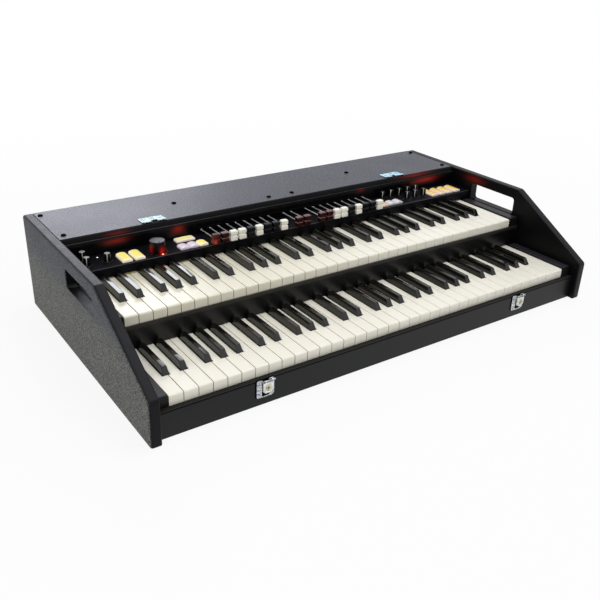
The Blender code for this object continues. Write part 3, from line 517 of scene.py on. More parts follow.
def scatter(name, head, points, look, turnSpread):
    # head is a mesh piece at the origin; it is used up
    mesh = bpy.data.meshes.new(name)
    mesh.from_pydata(points, [], [])
    piece = grow(linked(name, mesh), scatterHeads, {
        "Head": head, "Turn Spread": turnSpread, "Seed": 4, "Finish": finishes[look]})
    bpy.data.objects.remove(head)
    return piece


def ring(name, bm, look, count, radius, centre=(0, 0, 0), firstDegrees=0.0, stepDegrees=None):
    # a full circle, unless a step is given
    step = 360 / count if stepDegrees is None else stepDegrees
    return grow(toPiece(bm, name), ringOfMarks, {
        "Count": count, "Radius": radius, "First Angle": math.radians(firstDegrees),
        "Angle Step": math.radians(step), "Centre": centre, "Finish": finishes[look]})


# Finishes of the case

sidePanel = {
    "inner": 0.445, "outer": 0.463, "front": -0.2585, "back": 0.2585, "top": 0.177, "noseHeight": 0.076,
    "slopeEnd": -0.0825, "footRadius": 0.004, "shoulderRadius": 0.012, "noseRadius": 0.008,
    "outerEdge": 0.005, "innerEdge": 0.0024, "through": 0.002,
    "slotY": (-0.0755, 0.0435), "slotZ": (0.122, 0.156), "slotRadius": 0.006, "slotRim": 0.0009,
}
caseGrain = {
    "ground": tone(49, 50, 51), "flake": tone(127, 129, 121), "highFlake": tone(88, 90, 100),
    "edge": tone(11, 12, 18), "inner": tone(4, 4, 5), "flakeScale": 480, "pitScale": 760,
    "outerX": (0.4605, 0.4626), "innerX": (0.4452, 0.4475), "topZ": (0.1745, 0.1755),
    "highZ": (0.085, 0.150), "slotReach": 0.0012,
    "glow": tone(150, 26, 12), "glowX": ((0.40, 0.44), (0.4452, 0.4460)), "glowY": (0.0365, 0.024),
    "glowZ": (0.1660, 0.0075),
}


def grainedCase():
    look = caseGrain
    made = Finish("grainedCase", {"Specular IOR Level": 0.14, "Emission Strength": 0.28})
    x, y, z = made.axes()
    across = abs(x)
    outer = across.rise(*look["outerX"])
    reach = look["slotReach"]
    slotY, slotZ = (axis.window((low - reach, low), (high, high + reach))
                    for axis, (low, high) in ((y, sidePanel["slotY"]), (z, sidePanel["slotZ"])))
    hidden = (1 - across.rise(*look["innerX"])) * (1 - z.rise(*look["topZ"]))
    inner = hidden.maths("MAXIMUM", slotY * slotZ * (1 - outer))
    flakes = made.noise(look["flakeScale"], 4).rise(0.39, 0.62)
    # the flakes are painted darker and bluer towards the top, a painted tint of the bluish light from above
    # and behind
    height = z.rise(*look["highZ"]) * 0.85 + made.noise(9, 2) * 0.15
    grained = made.blend(flakes, look["ground"], made.blend(height, look["flake"], look["highFlake"]))
    shell = made.blend(outer, look["edge"], grained)
    pits = made.cells(look["pitScale"]) * (outer * 0.8 + 0.2) + flakes * outer
    # the red lamps' light on the right panel's inner face is painted on as emission
    glow = y.bell(*look["glowY"]) * z.bell(*look["glowZ"]) * x.window(*look["glowX"])
    return made.done(made.blend(inner, shell, look["inner"]),
                     outer * 0.12 + made.noise(40, 4) * 0.14 + 0.36,
                     (pits, 0.45, 0.0005), (glow, look["glow"]))


deckGrain = {
    "low": tone(30, 31, 39), "high": tone(90, 92, 105), "veil": tone(60, 60, 68), "edge": tone(5, 5, 7),
    "scale": 300, "edgeY": (0.1118, 0.1130), "edgeZ": (0.1752, 0.1758), "frontY": (0.1180, 0.1220),
    "glow": tone(200, 40, 34),
    "glows": ((-0.347, 0.019, 0.1705, 0.0034, 0.7), (0.335, 0.036, 0.1725, 0.0035, 1.0)),
}


def deckPaint():
    look = deckGrain
    made = Finish("deckPaint", {"Specular IOR Level": 0.24, "Emission Strength": 0.22})
    x, y, z = made.axes()
    speck = made.noise(look["scale"], 4)
    broad = made.noise(14, 3)
    top = y.rise(*look["edgeY"]) * z.rise(*look["edgeZ"])
    base = made.blend(speck.rise(0.36, 0.66), look["low"], look["high"])
    shaded = made.blend(broad.rise(0.3, 0.7) * 0.3, base, look["veil"])
    # the red lamps' light on the deck's front edge is painted on as emission
    lit = spots(x, z, look["glows"]) * (1 - y.rise(*look["frontY"])) * (1 - top)
    return made.done(made.blend(top, look["edge"], shaded),
                     broad * 0.08 + speck * 0.16 + 0.30 + (1 - top) * 0.35,
                     (made.cells(700) * 0.7 + speck, 0.5, 0.0004), (lit, look["glow"]))


def satinBlack(name, low, high, roughness, grain, level=0.2):
    made = Finish(name, {"Specular IOR Level": level})
    cloud = made.noise(30, 3)
    fine = made.noise(900, 3)
    return made.done(made.mottle(cloud * 0.6 + fine * 0.4, low, high), cloud * 0.12 + (roughness - 0.06),
                     (fine, grain, 0.0002))


railEdge = {
    "low": tone(13, 14, 16), "high": tone(19, 20, 23), "lipHighlight": tone(40, 37, 28), "top": tone(11, 10, 6),
    "line": tone(6, 6, 8), "frontY": (-0.2455, -0.2448), "lineZ": (0.0424, 0.0430),
    "lipZ": (0.0446, 0.0451), "topZ": (0.0458, 0.0461),
}


def railSatin():
    # satin black, with a painted highlight along its upper lip over a painted shadow line, and its top face
    # painted darker as shade
    look = railEdge
    made = Finish("railBlack", {"Specular IOR Level": 0.24})
    y, z = made.axes()[1:]
    cloud = made.noise(26, 3)
    fine = made.noise(900, 3)
    front = 1 - y.rise(*look["frontY"])
    top = z.rise(*look["topZ"]) * (1 - front)
    # the painted highlight along the lip, mottled
    lipHighlight = z.rise(*look["lipZ"]) * (made.noise(90, 2) * 0.5 + 0.5) * front
    body = made.mottle(cloud * 0.5 + fine * 0.5, look["low"], look["high"])
    # the painted shadow line under the lip, without shine
    made.dull(z.window(look["lineZ"], look["lipZ"]) * front * 0.9, look["line"])
    return made.done(made.blend(top, made.blend(lipHighlight, body, look["lipHighlight"]), look["top"]),
                     cloud * 0.12 + 0.34 + top * 0.4, (fine, 0.1, 0.0002))


keybedLook = {
    "low": tone(9, 9, 10), "high": tone(16, 16, 16), "cheek": tone(38, 38, 44), "cheekX": (0.4240, 0.4250),
    "lowerTop": ((0.0643, 0.0648), (0.0660, 0.0670)), "upperTop": (0.1205, 0.1210),
}


def keybedSatin():
    # the cheek blocks' tops are painted paler than the rest, a painted highlight where they face the light
    look = keybedLook
    made = Finish("keybedBlack", {"Specular IOR Level": 0.2})
    x, z = made.axes()[::2]
    fine = made.noise(700, 3)
    tops = z.window(*look["lowerTop"]) + z.rise(*look["upperTop"])
    body = made.blend(fine.rise(0.35, 0.65), look["low"], look["high"])
    return made.done(made.blend(tops * abs(x).rise(*look["cheekX"]), body, look["cheek"]),
                     fine * 0.14 + 0.38, (fine, 0.1, 0.0002))


panelLook = {
    "low": tone(4, 4, 7), "high": tone(8, 8, 12), "brow": tone(70, 70, 76), "halo": tone(210, 44, 26),
    "browY": (0.0496, 0.0502), "browZ": (0.1376, 0.1384), "haloX": (-0.2896, 0.0048),
    "haloY": (0.0560, 0.0042), "faceZ": (0.1384, 0.1389),
}


def panelPaint():
    # satin black sheet with a painted highlight along its front edge, and the red lamp's light around its
    # foot painted on as emission
    look = panelLook
    made = Finish("panelBlack", {"Specular IOR Level": 0.09, "Emission Strength": 0.6})
    x, y, z = made.axes()
    cloud = made.noise(24, 3)
    fine = made.noise(1000, 3)
    body = made.mottle(cloud * 0.5 + fine * 0.5, look["low"], look["high"])
    # the painted highlight along the front edge
    brow = (1 - y.rise(*look["browY"])) * z.rise(*look["browZ"])
    halo = x.bell(*look["haloX"]) * y.bell(*look["haloY"]) * z.rise(*look["faceZ"])
    return made.done(made.blend(brow, body, look["brow"]), cloud * 0.14 + 0.48, (fine, 0.08, 0.0002),
                     (halo, look["halo"]))


boardGloss = {
    "face": tone(4, 4, 6), "ledge": tone(11, 11, 14), "line": tone(84, 84, 90), "glow": tone(200, 32, 20),
    "ledgeZ": (0.1603, 0.1607), "lineZ": (0.1662, 0.1665), "lineY": (0.1069, 0.1072),
    "glows": ((-0.350, 0.018, 0.1572, 0.0048, 0.42), (-0.234, 0.0105, 0.1560, 0.0066, 0.50),
              (0.1825, 0.008, 0.1635, 0.0050, 0.20), (0.366, 0.030, 0.1584, 0.0054, 0.66)),
}


def glossBoard():
    # the dark board under the deck, with a painted highlight line along its ledge, paler to the left, and
    # the red lamps' glow in it painted on as emission
    look = boardGloss
    made = Finish("glossBoard", {"Specular IOR Level": 0.14, "Emission Strength": 0.55})
    x, y, z = made.axes()
    ledge = z.rise(*look["ledgeZ"])
    # the painted highlight line along the ledge, paler to the left
    line = z.rise(*look["lineZ"]) * (1 - y.rise(*look["lineY"])) * (0.75 - x * 0.7)
    body = made.blend(ledge, look["face"], look["ledge"])
    return made.done(made.blend(line, body, look["line"]), ledge * 0.10 + made.noise(260, 3) * 0.10 + 0.26,
                     None, (spots(x, z, look["glows"]), look["glow"]))


fasciaLook = {"gloss": tone(6, 6, 7), "strip": tone(34, 31, 27), "shadowStripZ": (0.0971, 0.0977)}


def glossFascia():
    look = fasciaLook
    made = Finish("glossFascia", {"Specular IOR Level": 0.4})
    # the strip above the gloss is a satin strip painted warm brown, a painted bounce light from the ivory
    # keys
    strip = made.axes()[2].rise(*look["shadowStripZ"])
    smear = made.noise(42, 3, (1, 1, 0.22))
    return made.done(made.blend(strip, look["gloss"], look["strip"]), strip * 0.12 + smear * 0.20 + 0.22,
                     (smear, 0.08, 0.0006))


# Finishes of keys, knobs and tabs

keys = {
    "left": -0.423, "pitch": 0.0235, "space": 0.001, "length": 0.235, "thick": 0.012, "noseDepth": 0.012,
    "noseHeight": 0.020, "noseRadius": 0.003, "edge": 0.00045, "octaves": 5, "pivotRun": 0.217,
    "front": {"lower": -0.2361, "upper": -0.0910}, "top": {"lower": 0.0625, "upper": 0.1187},
    "seatRadius": 0.0028, "barRadius": 0.0025, "live": 2,
}
ivory = {
    "warm": tone(246, 243, 231), "deep": tone(241, 237, 223), "upper": tone(228, 224, 205),
    "wall": tone(206, 190, 156), "rightWall": tone(247, 243, 230), "wallFrom": (0.4700, 0.4785),
    "upperZ": (0.090, 0.110), "upperX": (-0.3, 0.2), "rightX": (-0.25, 0.30),
}


def ivoryPlastic():
    # every key has its own slight tone; the sides in the gaps are painted tan as shade between the keys,
    # paler towards the right, and the upper manual is painted darker towards the left as shade
    look = ivory
    made = Finish("ivoryPlastic", {"Coat Weight": 0.1, "Coat Roughness": 0.15, "Subsurface Weight": 0.06,
                                   "Subsurface Radius": (0.004, 0.003, 0.002), "Subsurface Scale": 0.4})
    x, z = made.axes()[::2]
    place = (x + -keys["left"]) / keys["pitch"]
    number = place.maths("FLOOR")
    own = made.node("ShaderNodeTexWhiteNoise", {"noise_dimensions": "1D"}, {"W": number})
    plastic = made.blend(own * 0.6 + made.noise(22, 3) * 0.4, look["warm"], look["deep"])
    # painted shade on the key sides in the gaps, paler towards the right
    side = abs(place - number - 0.5).rise(*look["wallFrom"])
    # painted shade on the upper manual, stronger to the left
    upper = z.rise(*look["upperZ"]) * (1 - x.rise(*look["upperX"]))
    wall = made.blend(x.rise(*look["rightX"]), look["wall"], look["rightWall"])
    return made.done(made.blend(side, made.blend(upper, plastic, look["upper"]), wall),
                     made.noise(120, 3) * 0.14 + 0.26, (made.noise(700, 2), 0.06, 0.0003))


ebony = {
    "low": tone(6, 6, 6), "high": tone(14, 14, 12), "flank": (tone(37, 37, 30), tone(20, 20, 16)),
    "nose": (tone(42, 42, 44), tone(22, 22, 22)), "flankFrom": (0.80, 0.95), "noseFrom": (0.62, 0.74),
    "darkerX": (-0.15, 0.35),
}


def ebonyPlastic():
    # flanks and noses painted paler as a painted highlight, less so towards the right
    look = ebony
    made = Finish("ebonyPlastic", {"Specular IOR Level": 0.34, "Coat Weight": 0.12, "Coat Roughness": 0.04})
    rub = made.noise(160, 3, (1, 0.25, 1))
    across, forward = made.normals()[:2]
    # painted highlights on the flanks and noses, fading towards the right
    flank = abs(across).rise(*look["flankFrom"])
    nose = (forward * -1).rise(*look["noseFrom"]) * (made.noise(420, 3, (1, 1, 0.2)) * 0.9 + 0.35)
    right = made.axes()[0].rise(*look["darkerX"])
    body = made.blend(rub.rise(0.4, 0.7), look["low"], look["high"])
    sides = made.blend(flank, body, made.blend(right, *look["flank"]))
    return made.done(made.blend(nose, sides, made.blend(right, *look["nose"])), rub * 0.12 + 0.04,
                     (made.noise(900, 2), 0.03, 0.0002))


def knobPlastic(name, low, high, roughness, milk, level=0.22, upwardHighlight=None):
    # faces that look up are painted paler as a painted highlight, where that colour is given
    made = Finish(name, {"Specular IOR Level": level, "Coat Weight": 0.05, "Coat Roughness": 0.15,
                         "Subsurface Weight": milk, "Subsurface Radius": (0.003, 0.002, 0.001),
                         "Subsurface Scale": 0.5})
    cloud = made.noise(190, 3)
    body = made.mottle(cloud, low, high)
    if upwardHighlight:
        body = made.blend(made.normals()[2].rise(0.22, 0.6) * (cloud * 0.7 + 0.3), body, upwardHighlight)
    return made.done(body, cloud * 0.14 + (roughness - 0.07), (made.noise(1100, 2), 0.10, 0.0002))


redLit = {
    "low": tone(34, 8, 6), "high": tone(50, 12, 9), "dim": tone(120, 11, 6), "bright": tone(255, 100, 44),
    "corner": ((-0.1925, 0.0034, 0.1440, 0.0030, 0.9),), "body": ((-0.1945, 0.0060, 0.1480, 0.0080, 1.0),),
}


def redLitKnob():
    # a brown knob with the red lamp's light in its lower left corner
    look = redLit
    made = Finish("redLitKnob", {"Specular IOR Level": 0.22, "Coat Weight": 0.05, "Coat Roughness": 0.15,
                                 "Emission Strength": 0.55})
    x, z = made.axes()[::2]
    cloud = made.noise(190, 3)
    shade = made.blend(spots(x, z, look["corner"]), look["dim"], look["bright"])
    return made.done(made.mottle(cloud, look["low"], look["high"]), cloud * 0.14 + 0.24, None,
                     (spots(x, z, look["body"]), shade))


dialLook = {
    "low": tone(5, 5, 6), "high": tone(11, 11, 12), "capFrom": (0.90, 0.97), "capZ": (0.1500, 0.1520),
    "lit": tone(214, 26, 14), "litLeft": ((-0.0095, 0.0040), (0.1465, 0.0065)),
    "litRight": ((0.0098, 0.0036), (0.1440, 0.0060)), "litTop": (0.1560, 0.1590),
}


def dialPlastic(name, capReflection, litSides=False):
    # black plastic with a painted reflection on the flat of the cap; the large dial's foot catches the red
    # lamp's light, painted on as emission
    look = dialLook
    made = Finish(name, {"Specular IOR Level": 0.2, "Emission Strength": 0.5 if litSides else 0.0})
    x, y, z = made.axes()
    cloud = made.noise(600, 3)
    up = made.normals()[2].rise(*look["capFrom"])
    body = made.mottle(cloud, look["low"], look["high"])
    glow = None
    if litSides:
        along = (x + 0.292) * 0.82 - (y - 0.0715) * 0.57
        left, right = (along.bell(*look[side][0]) * z.bell(*look[side][1])
                       for side in ("litLeft", "litRight"))
        glow = ((left * 0.5 + right) * ((1 - z.rise(*look["litTop"])) * (1 - up)), look["lit"])
    return made.done(made.blend(up * z.rise(*look["capZ"]), body, capReflection), cloud * 0.12 + 0.26, None, glow)


def tabPlastic(name, middle, rim, strength):
    # the lamp under the tab lights its middle more than its rim
    made = Finish(name, {"Coat Weight": 0.3, "Coat Roughness": 0.12, "Emission Strength": strength})
    across, along = made.split(made.node("ShaderNodeUVMap", {"uv_map": "pad"}))[:2]
    cloud = made.noise(150, 3)
    lit = (0.5 - abs(across - 0.5)).rise(0.02, 0.20) * (0.5 - abs(along - 0.5)).rise(0.01, 0.13)
    shade = made.blend(lit * (cloud * 0.3 + 0.85), rim, middle)
    return made.done(made.blend(0.35, shade, noLight), cloud * 0.1 + 0.26, emission=shade)


def pointerWhite():
    made = Finish("pointerWhite", {"Roughness": 0.45})
    wear = made.noise(1500, 3).rise(0.5, 0.75)
    return made.done(made.blend(wear, tone(232, 232, 228), tone(170, 170, 168)))


def lampGlow(name, colour, strength):
    made = Finish(name, {"Roughness": 0.2, "Emission Strength": strength})
    shade = made.blend(made.noise(900, 2) * 0.5, colour, tone(255, 226, 214))
    return made.done(shade, emission=shade)


# Finishes of metalware

def brightMetal(name, low, high, roughness, bumps=0.08, scale=260):
    made = Finish(name, {"Metallic": 1.0})
    lines = made.noise(scale, 4)
    return made.done(made.mottle(lines, low, high), lines * 0.2 + (roughness - 0.1), (lines, bumps, 0.0002))


zinc = {"low": (tone(88, 100, 104), tone(96, 122, 134)), "high": (tone(182, 200, 206), tone(188, 222, 238)),
        "sideX": (-0.05, 0.05)}


def hingeZinc():
    # bluish zinc with dull grey blotches; the left leaf, which faces the light, is painted darker and
    # greyer as shade
    made = Finish("hingeZinc", {"Metallic": 0.8, "Roughness": 0.5})
    blotch = made.noise(330, 4, (1, 0.5, 1))
    # painted shade on the left leaf
    side = made.axes()[0].rise(*zinc["sideX"])
    low, high = (made.blend(side, *zinc[name]) for name in ("low", "high"))
    return made.done(made.blend(blotch.rise(0.34, 0.52), low, high), blotch * 0.2 + 0.42,
                     (blotch, 0.3, 0.0003))


rodMarks = {
    "first": 0.0560, "pitch": 0.0045, "window": ((0.16, 0.19), (0.97, 1.0)),
    "low": tone(214, 214, 218), "high": tone(240, 240, 242), "mark": tone(120, 120, 124),
}


def rodSteel():
    # flat rods with a fine dark line at every stop
    look = rodMarks
    made = Finish("rodSteel", {"Metallic": 0.55, "Roughness": 0.35})
    phase = ((made.axes()[1] - look["first"]) / look["pitch"]).maths("FRACT")
    lines = made.noise(420, 3, (1, 0.12, 1))
    metal = made.mottle(lines, look["low"], look["high"])
    return made.done(made.blend(phase.window(*look["window"]), look["mark"], metal), lines * 0.2 + 0.24)


def boardGreen():
    # copper tracks under green lacquer
    made = Finish("boardGreen", {"Roughness": 0.35, "Coat Weight": 0.4})
    stripes = abs((made.axes()[0] / 0.0025).maths("FRACT") - 0.5).rise(0.30, 0.36)
    copper = stripes * made.noise(60, 1, (1, 0.1, 1)).rise(0.48, 0.52)
    return made.done(made.blend(copper, tone(16, 74, 44), tone(40, 118, 70)), None, (copper, 0.2, 0.0002))


finishes = {
    "case": grainedCase(),
    "deck": deckPaint(),
    "rail": railSatin(),
    "keybed": keybedSatin(),
    "panel": panelPaint(),
    "plainBlack": satinBlack("plainBlack", tone(12, 12, 13), tone(20, 20, 21), 0.5, 0.12),
    "screwBlack": satinBlack("screwBlack", tone(2, 2, 3), tone(5, 5, 6), 0.85, 0.1, 0.04),
    "board": glossBoard(),
    "fascia": glossFascia(),
    "ivory": ivoryPlastic(),
    "ebony": ebonyPlastic(),
    "whiteKnob": knobPlastic("whiteKnob", tone(252, 249, 238), tone(246, 242, 228), 0.34, 0.1, 0.5),
    # the brown and black knobs' last colour is a painted highlight on the faces that look up
    "brownKnob": knobPlastic("brownKnob", tone(30, 5, 5), tone(48, 10, 10), 0.3, 0.0, 0.14,
                             tone(150, 118, 116)),
    "redKnob": redLitKnob(),
    "blackKnob": knobPlastic("blackKnob", tone(4, 4, 6), tone(8, 8, 11), 0.3, 0.0, 0.12, tone(42, 44, 56)),
    # the caps' tones are painted reflections: pale on the left dials, dim on the right ones, dark grey on
    # the large dial
    "dial": dialPlastic("dialBlack", tone(152, 153, 158)),
    "dimDial": dialPlastic("dialDim", tone(40, 40, 43)),
    "bigDial": dialPlastic("dialLarge", tone(58, 62, 68), True),
    "amberTab": tabPlastic("amberTab", tone(254, 238, 130), tone(250, 234, 208), 0.52),
    "barTab": tabPlastic("barTab", tone(254, 242, 168), tone(236, 222, 214), 0.46),
    "goldTab": tabPlastic("goldTab", tone(244, 204, 96), tone(232, 216, 210), 0.42),
    "peachTab": tabPlastic("peachTab", tone(240, 196, 140), tone(226, 204, 196), 0.36),
    "roseTab": tabPlastic("roseTab", tone(234, 220, 230), tone(220, 206, 220), 0.42),
    "whiteTab": tabPlastic("whiteTab", tone(228, 224, 228), tone(206, 202, 206), 0.32),
    "pointer": pointerWhite(),
    "whiteLamp": lampGlow("whiteLamp", tone(250, 248, 246), 1.2),
    "redLamp": lampGlow("redLamp", tone(255, 120, 92), 2.4),
    "chrome": brightMetal("latchChrome", tone(112, 116, 122), tone(226, 229, 232), 0.26, 0.35, 300),
    "flap": brightMetal("flapNickel", tone(206, 206, 202), tone(232, 232, 226), 0.3, 0.1),
    "hinge": hingeZinc(),
    "brass": brightMetal("bossBrass", tone(170, 168, 136), tone(206, 204, 172), 0.3),
    "rod": rodSteel(),
    "zinc": brightMetal("guideZinc", tone(140, 143, 146), tone(168, 171, 174), 0.42, 0.2),
    "green": boardGreen(),
}
print("finishes made:", len(finishes))


# Solids that keep their own shape

keptNodes = {
    "top_deck": ["deck"], "front_rail": ["rail"], "bottom_panel": ["plainBlack"],
    "rear_panel": ["plainBlack"], "upper_fascia": ["fascia"], "backboard": ["board"],
    "lower_keybed": ["keybed"], "upper_keybed": ["keybed"], "drawbar_guide": ["zinc"],
    "main_board": ["green", "blackKnob"], "rear_sockets": ["plainBlack"],
}
for nodeName, looks in keptNodes.items():
    for index, materialSlot in enumerate(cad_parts[nodeName].material_slots):
        materialSlot.material = finishes[looks[min(index, len(looks) - 1)]]
print("kept solids finished:", len(keptNodes))


# Side panels

def makeSidePanel(name, sign):
    size = sidePanel
    corners = [(size["front"], 0), (size["back"], 0), (size["back"], size["top"]),
               (size["slopeEnd"], size["top"]), (size["front"], size["noseHeight"])]
    radii = [size["footRadius"]] * 3 + [size["shoulderRadius"], size["noseRadius"]]
    ends = sorted((sign * size["inner"], sign * size["outer"]))
    rims = (size["outerEdge"], size["innerEdge"])[::-sign]
    piece = toPiece(slab(corners, radii, 0, ends, rims, 8, 5), name, "case")
    carve(piece, plate(size["slotY"], size["slotZ"], size["slotRadius"], 0,
                       (ends[0] - size["through"], ends[1] + size["through"]), (0, 0), 8, 1))
    bm = bmesh.new()
    bm.from_mesh(piece.data)
    slotRims = []
    for edge in bm.edges:
        middle = (edge.verts[0].co + edge.verts[1].co) / 2
        atFace = all(min(abs(v.co.x - end) for end in ends) < tiny for v in edge.verts)
        inSlot = (size["slotY"][0] - tiny < middle.y < size["slotY"][1] + tiny
                  and size["slotZ"][0] - tiny < middle.z < size["slotZ"][1] + tiny)
        if atFace and inSlot and edge.calc_face_angle(0) > 1:
            slotRims.append(edge)
    bevelEdges(bm, slotRims, size["slotRim"], 4)
    bm.to_mesh(piece.data)
    bm.free()
    dress(soften(piece), "case", "grained_case", name)


makeSidePanel("left_side_panel", -1)
makeSidePanel("right_side_panel", 1)
print("side panels made")


# Manuals

sharps = {
    "setback": 0.051, "length": 0.0865, "step": 0.0005, "height": 0.0115, "base": 0.0116,
    "topWidth": 0.0080, "noseRun": 0.007, "tailRun": 0.002, "space": 0.0011, "edge": 0.0009,
    "shifts": {0: -0.0025, 1: 0.0030, 3: -0.0033, 4: 0.0, 5: 0.0035},
}


def sharpCentre(index):
    step = index % 7
    if step not in sharps["shifts"]:
        return None
    return keys["left"] + (index + 1) * keys["pitch"] + sharps["shifts"][step]


def naturalMesh(index, manual, last=False):
    front = keys["front"][manual]
    top = keys["top"][manual]
    under = top - keys["thick"]
    left = keys["left"] + index * keys["pitch"] + keys["space"] / 2
    right = left + keys["pitch"] - keys["space"]
    back = front + keys["length"]
    notch = front + sharps["setback"] - sharps["space"]
    reach = sharps["base"] / 2 + sharps["space"]
    nose = front + keys["noseDepth"]
    rightSharp = None if last else sharpCentre(index)
    leftSharp = sharpCentre(index - 1)
    outline = [(left, front), (right, front), (right, nose)]
    if rightSharp is None:
        outline.append((right, back))
    else:
        outline += [(right, notch), (rightSharp - reach, notch), (rightSharp - reach, back)]
    if leftSharp is None:
        outline.append((left, back))
    else:
        outline += [(leftSharp + reach, back), (leftSharp + reach, notch), (left, notch)]
    outline.append((left, nose))
    bm = prism(outline, 2, (under, top))
    ends = [v for v in bm.verts if v.co.z < under + tiny and abs(v.co.y - nose) < tiny]
    bmesh.ops.connect_verts(bm, verts=ends)
    lower = pull(bm, [f for f in bm.faces if f.normal.z < -0.9 and f.calc_center_median().y < nose])
    bmesh.ops.translate(bm, verts=lower, vec=(0, 0, keys["thick"] - keys["noseHeight"]))
    bevelEdges(bm, browEdges(bm, front, top), keys["noseRadius"])
    bmesh.ops.recalc_face_normals(bm, faces=bm.faces)
    return bm


def sharpMesh(centre, manual):
    front = keys["front"][manual]
    top = keys["top"][manual]
    start = front + sharps["setback"]
    end = start + sharps["length"]
    bm = block(span(centre, sharps["base"] / 2), (start, front + keys["length"]),
               (top - keys["thick"], top - sharps["step"]))
    bmesh.ops.bisect_plane(bm, geom=bm.verts[:] + bm.edges[:] + bm.faces[:], plane_co=(0, end, 0),
                           plane_no=(0, 1, 0))
    for vert in pull(bm, [f for f in bm.faces if f.normal.z > 0.9 and f.calc_center_median().y < end]):
        vert.co.z = top + sharps["height"]
        vert.co.x = centre + math.copysign(sharps["topWidth"] / 2, vert.co.x - centre)
        vert.co.y += sharps["noseRun"] if vert.co.y < (start + end) / 2 else -sharps["tailRun"]
    bmesh.ops.recalc_face_normals(bm, faces=bm.faces)
    return bm


def makeManual(manual):
    node = manual + "_manual"
    row = {"Octaves": keys["octaves"], "Octave Run": 7 * keys["pitch"],
           "Skip": keys["live"] if manual == "upper" else -1}
    naturals = toPiece(mergeAll([naturalMesh(index, manual) for index in range(7)]), manual + "Naturals",
                       "ivory")
    grow(soften(naturals, keys["edge"]), octaveRow, {**row, "Finish": finishes["ivory"]})
    dress(naturals, "case", "ivory_keys", node)
    present(naturalMesh(7 * keys["octaves"], manual, True), manual + "LastNatural", "ivory", "case",
            "ivory_keys", node, width=keys["edge"])
    places = [sharpCentre(index) for index in range(7)]
    blacks = toPiece(mergeAll([sharpMesh(place, manual) for place in places if place is not None]),
                     manual + "Sharps", "ebony")
    grow(soften(blacks, sharps["edge"], 3, 25), octaveRow, {**row, "Finish": finishes["ebony"]})
    dress(blacks, "case", "black_keys", node)


rail = {"half": 0.008, "height": 0.008, "air": 0.0015, "edge": 0.0006, "barEnd": 0.002, "barEdge": 0.0002,
        "feltEdge": 0.0003}


def makePivotRail(manual, liveSpan=None):
    # the rail that the keys' tails stand on, with a bare round bar along the live octave
    node = manual + "_manual"
    pivot = keys["front"][manual] + keys["pivotRun"]
    under = keys["top"][manual] - keys["thick"]
    top = under - rail["air"]
    ends = (keys["left"] + keys["space"] / 2, -keys["left"] - keys["space"] / 2)
    y = span(pivot, rail["half"])
    present(block(ends, y, (top - rail["height"], top)), manual + "PivotRail", "plainBlack", "case",
            "keybed", node, width=rail["edge"])
    spans = [ends]
    if liveSpan:
        spans = [(ends[0], liveSpan[0] - keys["space"]), (liveSpan[1] + keys["space"], ends[1])]
        run = liveSpan[1] - liveSpan[0] + 2 * rail["barEnd"]
        bar = turn(rod(keys["barRadius"], 0, run), 32,
                   facing((1, 0, 0), liveSpan[0] - rail["barEnd"], pivot, under))
        present(bar, "pivotBar", "zinc", "case", "zinc_guide", node, width=rail["barEdge"])
    present(mergeAll([block(x, y, (top, under - tiny)) for x in spans]), manual + "PivotFelt",
            "brownKnob", "case", "keybed", node, width=rail["feltEdge"])


def makeLiveKeys():
    pivot = keys["front"]["upper"] + keys["pivotRun"]
    under = keys["top"]["upper"] - keys["thick"]
    for number, letter in enumerate("cdefgab"):
        index = 7 * keys["live"] + number
        name = "upper_key_" + letter
        shapes = [(name, naturalMesh(index, "upper"), "ivory", (keys["edge"], 2, 40), "ivory_keys")]
        centre = sharpCentre(index)
        if centre is not None:
            shapes.append((name + "_sharp", sharpMesh(centre, "upper"), "ebony", (sharps["edge"], 3, 25),
                           "black_keys"))
        for name, bm, look, edges, slotName in shapes:
            piece = soften(toPiece(bm, name, look), *edges)
            carve(piece, turn(rod(keys["seatRadius"], -0.5, 0.5), 32, facing((1, 0, 0), 0, pivot, under)))
            dress(soften(piece), name, slotName, name)


octaveRun = 7 * keys["pitch"]
liveStart = keys["left"] + keys["live"] * octaveRun
makeManual("lower")
makeManual("upper")
makePivotRail("lower")
makePivotRail("upper", (liveStart, liveStart + octaveRun))
makeLiveKeys()
print("manuals made")


# Drawbars

drawbar = {
    "face": 0.0450, "depth": 0.0095, "halfWidth": 0.00725, "halfHeight": 0.0095, "z": 0.1495,
    "crown": 0.0026, "shift": 0.0008, "foot": 0.0014, "groove": 0.0026, "waist": 0.0013, "corner": 0.0016,
    "rodHalf": 0.0007, "rodZ": (0.1480, 0.1500), "rodEnds": (0.0525, 0.1368), "rodCorner": 0.0005,
    "beadHalf": 0.0010, "beadY": (0.1020, 0.1036), "beadTop": 0.1504,
    "shoe": (0.1358, 0.1418), "shoeHalf": 0.003, "smallCorner": 0.0008, "smallRims": (0.0004, 0.0004),
    "first": {"upper": -0.1908, "bass": -0.012, "lower": 0.0408}, "pitch": 0.018,
    "colours": {"upper": "red brown white white black white black black white".split(),
                "bass": ["brown", "brown"],
                "lower": "brown brown white white black white black black white".split()},
}


def knobMesh(x):
    # rounded head, square foot, and a groove for the finger tip all round at mid-height
    size = drawbar
    levels = rimLevels(-size["halfHeight"], size["foot"], 6)
    for step in range(1, 12):
        share = -1 + 2 * step / 12
        levels.append((share * size["groove"], size["waist"] * (0.5 + 0.5 * math.cos(math.pi * share))))
    levels += rimLevels(size["halfHeight"], -size["crown"], 6)
    middle = size["face"] + size["depth"] / 2
    rings = []
    for level, inset in levels:
        outline = rectangle(span(x, size["halfWidth"] - inset),
                            span(middle, size["depth"] / 2 - 0.7 * inset))
        rings.append(stand(roundCorners(outline, [size["corner"]] * 4, 4), 2, size["z"] + level))
    return loft(rings)


